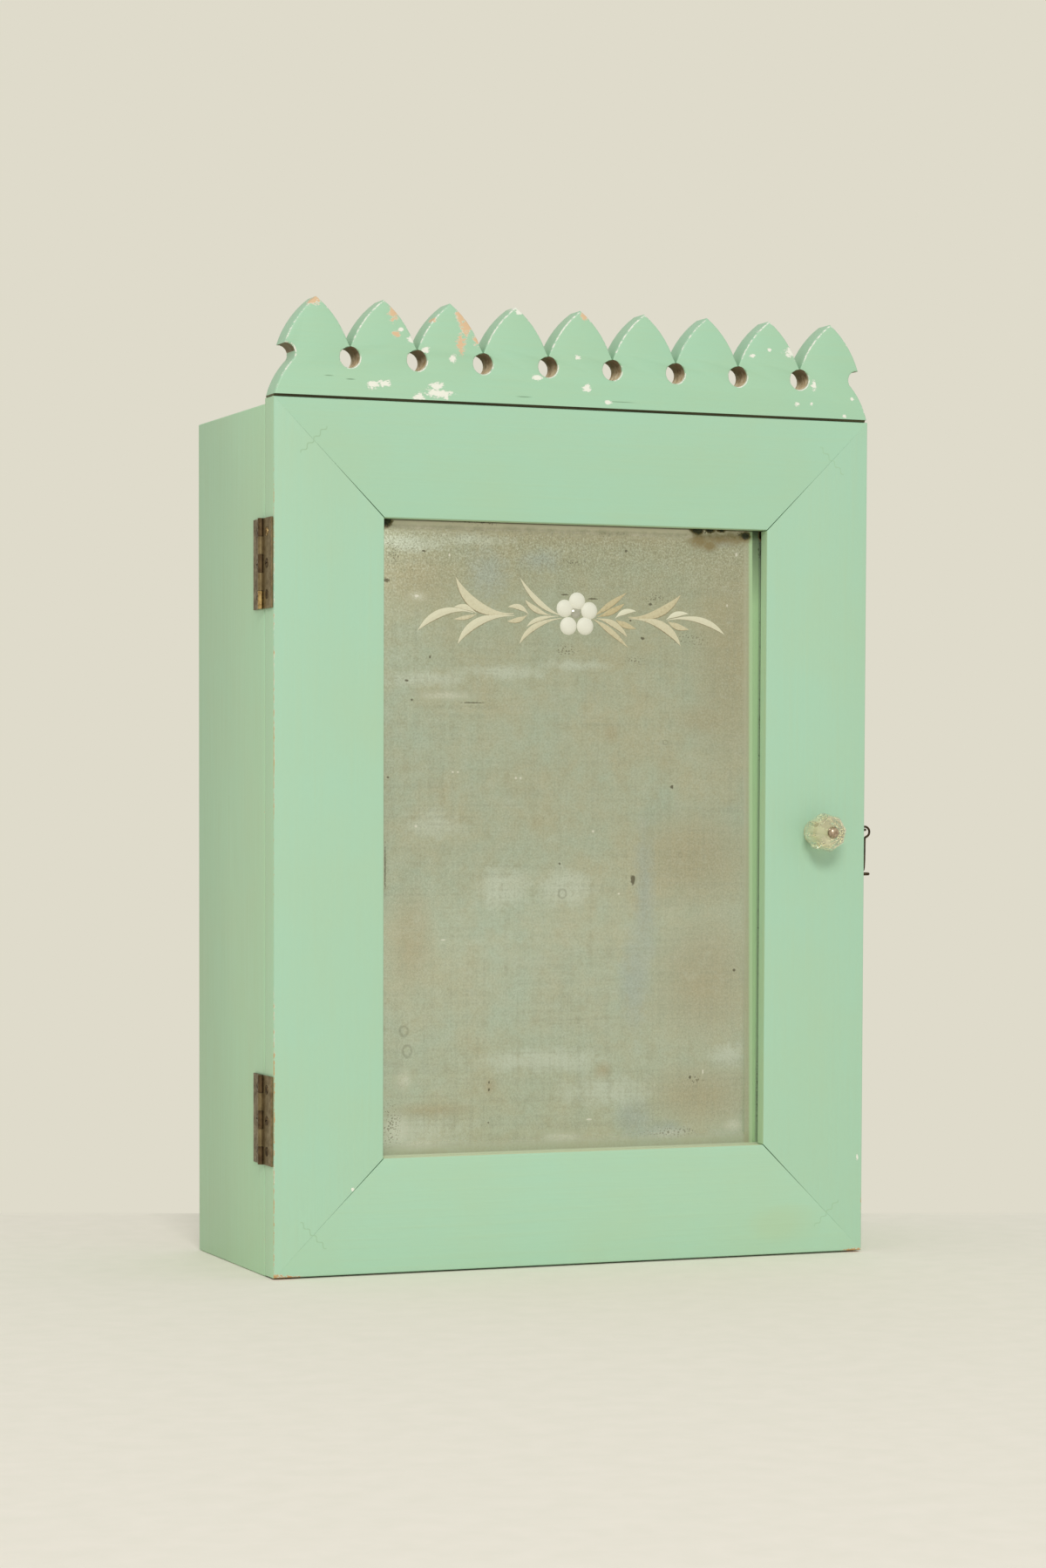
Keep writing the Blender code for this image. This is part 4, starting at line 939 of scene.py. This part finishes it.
for level in ("upper", "lower"):
    for owner in ("carcass", "door"):
        node = f"hinge_leaf_{owner}_{level}"
        leaf = copy_node(node)
        soften(leaf, plate_edge, leaf_round)
        settle(leaf, f"{owner}_hinge_leaf_{level}", hinge_skins[owner], owner, "old_brass", node)
        if owner == "carcass":
            # These knuckles are darker than the door's as painted shade, and the upper hinge's lowest one is
            # rubbed bright
            leaf.data.materials.append(shaded_knuckle)
            leaf.data.materials.append(rubbed_brass)
            low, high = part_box(node)
            knuckle_top = low.z + (high.z - low.z) / knuckles
            for face in leaf.data.polygons:
                if face.center.x < low.x + barrel_reach and face.center.y < low.y + barrel_reach:
                    rubbed = level == "upper" and face.center.z < knuckle_top
                    face.material_index = 2 if rubbed else 1
    dress(f"hinge_pin_{level}", hinge_skins["carcass"])

# Hinge screws: slotted wood screws, plated like the hinges and driven home by hand, so that the slots on a
# leaf all stand at different angles. They have gone darker than the leaves, and one is rubbed to the brass.
screw_skin = tarnished_metal("dark_screw_steel", "#6e5a3a", "#3d2e1c", (0.3, 0.55), 500)
screw_radius, screw_height, screw_round, slot_half, slot_depth = 0.0024, 0.0008, 0.0002, 0.00035, 0.0004
bpy.ops.object.select_all(action="DESELECT")
bpy.ops.mesh.primitive_cylinder_add(vertices=24, radius=screw_radius, depth=screw_height)
screw = bpy.context.object
bpy.ops.object.mode_set(mode="EDIT")
pick(screw, "EDGE", lambda edge: all(vertex.co.z > 0 for vertex in edge.verts))
bpy.ops.mesh.bevel(offset=screw_round, segments=2)
for side in (-1, 1):
    bpy.ops.mesh.select_all(action="SELECT")
    bpy.ops.mesh.bisect(plane_co=(0, side * slot_half, 0), plane_no=(0, 1, 0))
pick(screw, "FACE", lambda face: face.normal.z > 0.4 and abs(face.calc_center_median().y) < slot_half)
bpy.ops.mesh.extrude_region_move(TRANSFORM_OT_translate={"value": (0, 0, -slot_depth)})
bpy.ops.object.mode_set(mode="OBJECT")
screw_mesh = screw.data.copy()
bpy.data.objects.remove(screw)
outward = Matrix.Rotation(-math.pi / 2, 4, "Y")
for level in ("upper", "lower"):
    for owner in ("carcass", "door"):
        for index in (1, 2, 3):
            node = f"hinge_screw_{owner}_{level}_{index}"
            low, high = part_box(node)
            seat = Vector((low.x + 0.3 * screw_height, (low.y + high.y) / 2, (low.z + high.z) / 2))
            turned = Matrix.Rotation(index * 1.1 + len(level) + len(owner), 4, "Z")
            piece = bpy.data.objects.new(node, screw_mesh.copy())
            bpy.context.collection.objects.link(piece)
            piece.data.transform(Matrix.Translation(seat) @ outward @ turned)
            bpy.ops.object.select_all(action="DESELECT")
            piece.select_set(True)
            bpy.context.view_layer.objects.active = piece
            skin = rubbed_brass if node == "hinge_screw_door_upper_1" else screw_skin
            settle(piece, f"slotted_screw_{owner}_{level}_{index}", skin, owner, "old_brass", node)

# Knob: pressed glass with eight lobes, drawn up to the stile by a through bolt with a domed nickel head. The
# glass is clear and faintly yellow. Its bore and foot are left rough, and their cream shows all through it.
knob_low, knob_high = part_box("knob_glass")
knob_axis = Vector(((knob_low.x + knob_high.x) / 2, front, (knob_low.z + knob_high.z) / 2))
knob_radius, knob_length, belly_height, neck_radius, neck_height = 0.0117, 0.0236, 0.0150, 0.0082, 0.0046
foot_radius, foot_height, seat_radius, lobes, lobe_depth = 0.0078, 0.0014, 0.0047, 8, 0.0012


def pressed_glass():
    """Clear pressed glass, rippled by the mould and yellowed with age. Most of the light passes, a little is
    caught in a cream bloom, and the fire-polished skin, drawn as a clear coat, gives sharp white glints."""
    made, tree, place = blank("pressed_glass")
    ripple = add(tree, "TexNoise", {"Vector": place, "Scale": 350, "Detail": 2})["Fac"]
    tones = {0: ripple, 6: colour("#fffef0"), 7: colour("#f6f5d8")}
    tint = add(tree, "Mix", tones, data_type="RGBA")[2]
    normal = add(tree, "Bump", {"Height": ripple, "Strength": 0.35, "Distance": 0.0003})[0]
    inputs = {"Base Color": tint, "Roughness": 0.0, "IOR": 1.5, "Transmission Weight": 0.9, "Normal": normal}
    polish = {"Coat Weight": 1.0, "Coat IOR": 1.9, "Coat Roughness": 0.02}
    show(tree, add(tree, "BsdfPrincipled", inputs | polish))
    return made


def ground_glass():
    """Glass left rough where it was bored and cut off: a matt cream, drawn coarser than the real grit."""
    made, tree, place = blank("ground_glass")
    grit = add(tree, "TexNoise", {"Vector": place, "Scale": 900, "Detail": 2})["Fac"]
    tones = {0: grit, 6: colour("#fffce0"), 7: colour("#f2edc2")}
    tint = add(tree, "Mix", tones, data_type="RGBA")[2]
    show(tree, add(tree, "BsdfPrincipled", {"Base Color": tint, "Roughness": 0.7}))
    return made


def turn(profile, steps):
    """A closed body turned about Z by spin from (radius, height) points, left in edit mode."""
    bpy.ops.object.select_all(action="DESELECT")
    mesh = bpy.data.meshes.new("turning")
    points = [(radius, 0, height) for radius, height in profile]
    mesh.from_pydata(points, [(index, index + 1) for index in range(len(points) - 1)], [])
    piece = bpy.data.objects.new("turning", mesh)
    bpy.context.collection.objects.link(piece)
    piece.select_set(True)
    bpy.context.view_layer.objects.active = piece
    bpy.ops.object.mode_set(mode="EDIT")
    bpy.ops.mesh.select_all(action="SELECT")
    bpy.ops.mesh.spin(steps=steps, angle=math.tau, center=(0, 0, 0), axis=(0, 0, 1))
    bpy.ops.mesh.select_all(action="SELECT")
    bpy.ops.mesh.remove_doubles(threshold=1e-6)
    bpy.ops.mesh.normals_make_consistent(inside=False)
    return piece


bore_radius, land, clearance, quarter_steps = 0.0023, 0.0059, 0.0003, 4
face_height = knob_length - clearance
quarter = [math.pi / 2 * step / quarter_steps for step in range(1, quarter_steps + 1)]
glass_profile = [(bore_radius, face_height), (seat_radius, face_height), (land, knob_length)]
for angle in quarter:
    reach = (knob_radius - land) * math.sin(angle)
    rise = (knob_length - belly_height) * math.cos(angle)
    glass_profile.append((land + reach, belly_height + rise))
for angle in quarter:
    reach = (knob_radius - neck_radius) * math.cos(angle)
    drop = (belly_height - neck_height) * math.sin(angle)
    glass_profile.append((neck_radius + reach, belly_height - drop))
glass_profile += [(foot_radius, foot_height), (foot_radius, clearance), (bore_radius, clearance)]
glass_profile.append(glass_profile[0])
knob = turn(glass_profile, 2 * lobes)
mesh = bmesh.from_edit_mesh(knob.data)
for vertex in mesh.verts:
    radius = vertex.co.xy.length
    reach = min(1, max(0, (radius - foot_radius) / (knob_radius - foot_radius)))
    lobe = abs(math.cos(lobes / 2 * math.atan2(vertex.co.y, vertex.co.x)))
    vertex.co.xy *= 1 + lobe_depth * reach * (lobe - 1) / radius
bmesh.update_edit_mesh(knob.data)
bpy.ops.object.mode_set(mode="OBJECT")
out_of_door = Matrix.Translation(knob_axis) @ Matrix.Rotation(math.pi / 2, 4, "X")
# Drawn up by hand, the lobes stand ten degrees off the upright
knob.data.transform(out_of_door @ Matrix.Rotation(math.radians(10), 4, "Z"))
settle(knob, "pressed_glass_knob", pressed_glass(), "door", "pressed_glass", "knob_glass")
# The mould left flat facets, which catch the light one by one
bpy.ops.object.shade_flat()
knob.data.materials.append(ground_glass())
for face in knob.data.polygons:
    out = face.center - knob_axis
    face.material_index = int(math.hypot(out.x, out.z) < bore_radius or -out.y < clearance + nearby)

nickel = tarnished_metal("worn_nickel", "#d2c1aa", "#836a55", (0.18, 0.42), 700)
shank_brass = tarnished_metal("shank_brass", "#e6d9a4", "#c9b374", (0.25, 0.45), 500)
head_radius, head_height, shank_radius, bolt_end = 0.0035, 0.0028, 0.0019, -0.0216
dome_steps, end_chamfer = 12, 0.0003
bolt_profile = []
for step in range(dome_steps + 1):
    angle = math.pi / 2 * step / dome_steps
    bolt_profile.append((head_radius * math.sin(angle), knob_length + head_height * math.cos(angle)))
bolt_profile += [(shank_radius, knob_length), (shank_radius, bolt_end + end_chamfer)]
bolt_profile += [(shank_radius - end_chamfer, bolt_end), (0, bolt_end)]
bolt = turn(bolt_profile, 32)
bpy.ops.object.mode_set(mode="OBJECT")
bolt.data.transform(out_of_door)
settle(bolt, "domed_knob_bolt", nickel, "door", "nickel", "knob_bolt")
bolt.data.materials.append(shank_brass)
for face in bolt.data.polygons:
    face.material_index = int(face.center.y > front - knob_length + nearby)
for node in ("knob_washer", "knob_nut"):
    dress(node, nickel)

# Hook and eyes: bent from plain steel wire, one screw eye in the carcass, one in the door's edge, and a loose
# hook. The wire has rusted to a dark even brown.
rusted_wire = tarnished_metal("rusted_wire", "#5a4a38", "#33281c", (0.45, 0.75), 900)
for node, body in (("hook_eye", "carcass"), ("latch_eye", "door"), ("hook", "hook")):
    wire = copy_node(node)
    bpy.ops.object.mode_set(mode="OBJECT")
    rounding = wire.modifiers.new("rounding", "SUBSURF")
    rounding.levels = 1
    rounding.render_levels = 1
    bpy.ops.object.modifier_apply(modifier="rounding")
    settle(wire, "wire_" + node, rusted_wire, body, "dark_wire", node)

# Stage: a plain pale floor that ends behind the cabinet, a pale surround, and one broad soft light above the
# front. The camera is at the photograph's place, near the height of the door's middle and to its left.
# The floor is matt, and its tone is faintly uneven.
floor_skin, floor_tree, floor_place = blank("pale_floor")
cast = add(floor_tree, "TexNoise", {"Vector": floor_place, "Scale": 60, "Detail": 4})["Fac"]
spread = add(floor_tree, "MapRange", {"Value": cast, "From Min": 0.3, "From Max": 0.7})[0]
floor_tones = {0: spread, 6: colour("#f0e9db"), 7: colour("#f4ecdf")}
floor_tint = add(floor_tree, "Mix", floor_tones, data_type="RGBA")[2]
show(floor_tree, add(floor_tree, "BsdfPrincipled", {"Base Color": floor_tint, "Roughness": 0.85}))
bpy.ops.object.select_all(action="DESELECT")
bpy.ops.mesh.primitive_plane_add(size=1)
floor = bpy.context.object
floor.name = "floor"
floor_width, floor_depth, floor_turn, far_edge = 4, 2.2, math.radians(-20.2), (0.068, 0.174, -0.0002)
floor.data.transform(Matrix.Diagonal((floor_width, floor_depth, 1, 1)))
floor.data.transform(Matrix.Translation((0, -floor_depth / 2, 0)))
floor.data.transform(Matrix.Translation(far_edge) @ Matrix.Rotation(floor_turn, 4, "Z"))
floor.data.materials.append(floor_skin)

world = bpy.data.worlds.new("studio")
bpy.context.scene.world = world
world.use_nodes = True
sky = world.node_tree
sky.nodes.clear()
# The camera, glass and metal see the surround, and a cooler, dimmer sky lights the rest
rays = add(sky, "LightPath", {})
seen = rays["Is Camera Ray"]
for ray in ("Is Transmission Ray", "Is Glossy Ray"):
    seen = add(sky, "Math", {0: seen, 1: rays[ray]}, operation="MAXIMUM")[0]
ambient = add(sky, "Background", {"Color": colour("#f1f4f2"), "Strength": 0.72})[0]
surround = add(sky, "Background", {"Color": colour("#dfdbcb"), "Strength": 1.0})[0]
blend = add(sky, "MixShader", {0: seen, 1: ambient, 2: surround})[0]
add(sky, "OutputWorld", {"Surface": blend})

key_data = bpy.data.lights.new("key", "AREA")
key_data.shape = "RECTANGLE"
key_data.size, key_data.size_y = 2.4, 1.8
key_data.energy = 258
key = bpy.data.objects.new("key", key_data)
key.location = (-2.0, -6.5, 4.0)
aim = Vector((0, 0, 0.25)) - key.location
key.rotation_euler = aim.to_track_quat("-Z", "Y").to_euler()
bpy.context.collection.objects.link(key)

camera_data = bpy.data.cameras.new("camera")
camera_data.sensor_fit = "AUTO"
camera_data.sensor_width = 36
camera_data.lens = 83.64
camera_data.shift_y = 0.1153
camera = bpy.data.objects.new("camera", camera_data)
camera_yaw, camera_pitch, camera_roll = math.radians(21.82), math.radians(-2.71), math.radians(0.19)
camera.location = (-0.8136, -2.0266, 0.2747)
facing = Matrix.Rotation(-camera_yaw, 3, "Z") @ Matrix.Rotation(math.pi / 2 + camera_pitch, 3, "X")
camera.rotation_euler = (facing @ Matrix.Rotation(camera_roll, 3, "Z")).to_euler()
bpy.context.collection.objects.link(camera)
bpy.context.scene.camera = camera
bpy.context.scene.view_settings.view_transform = "Standard"
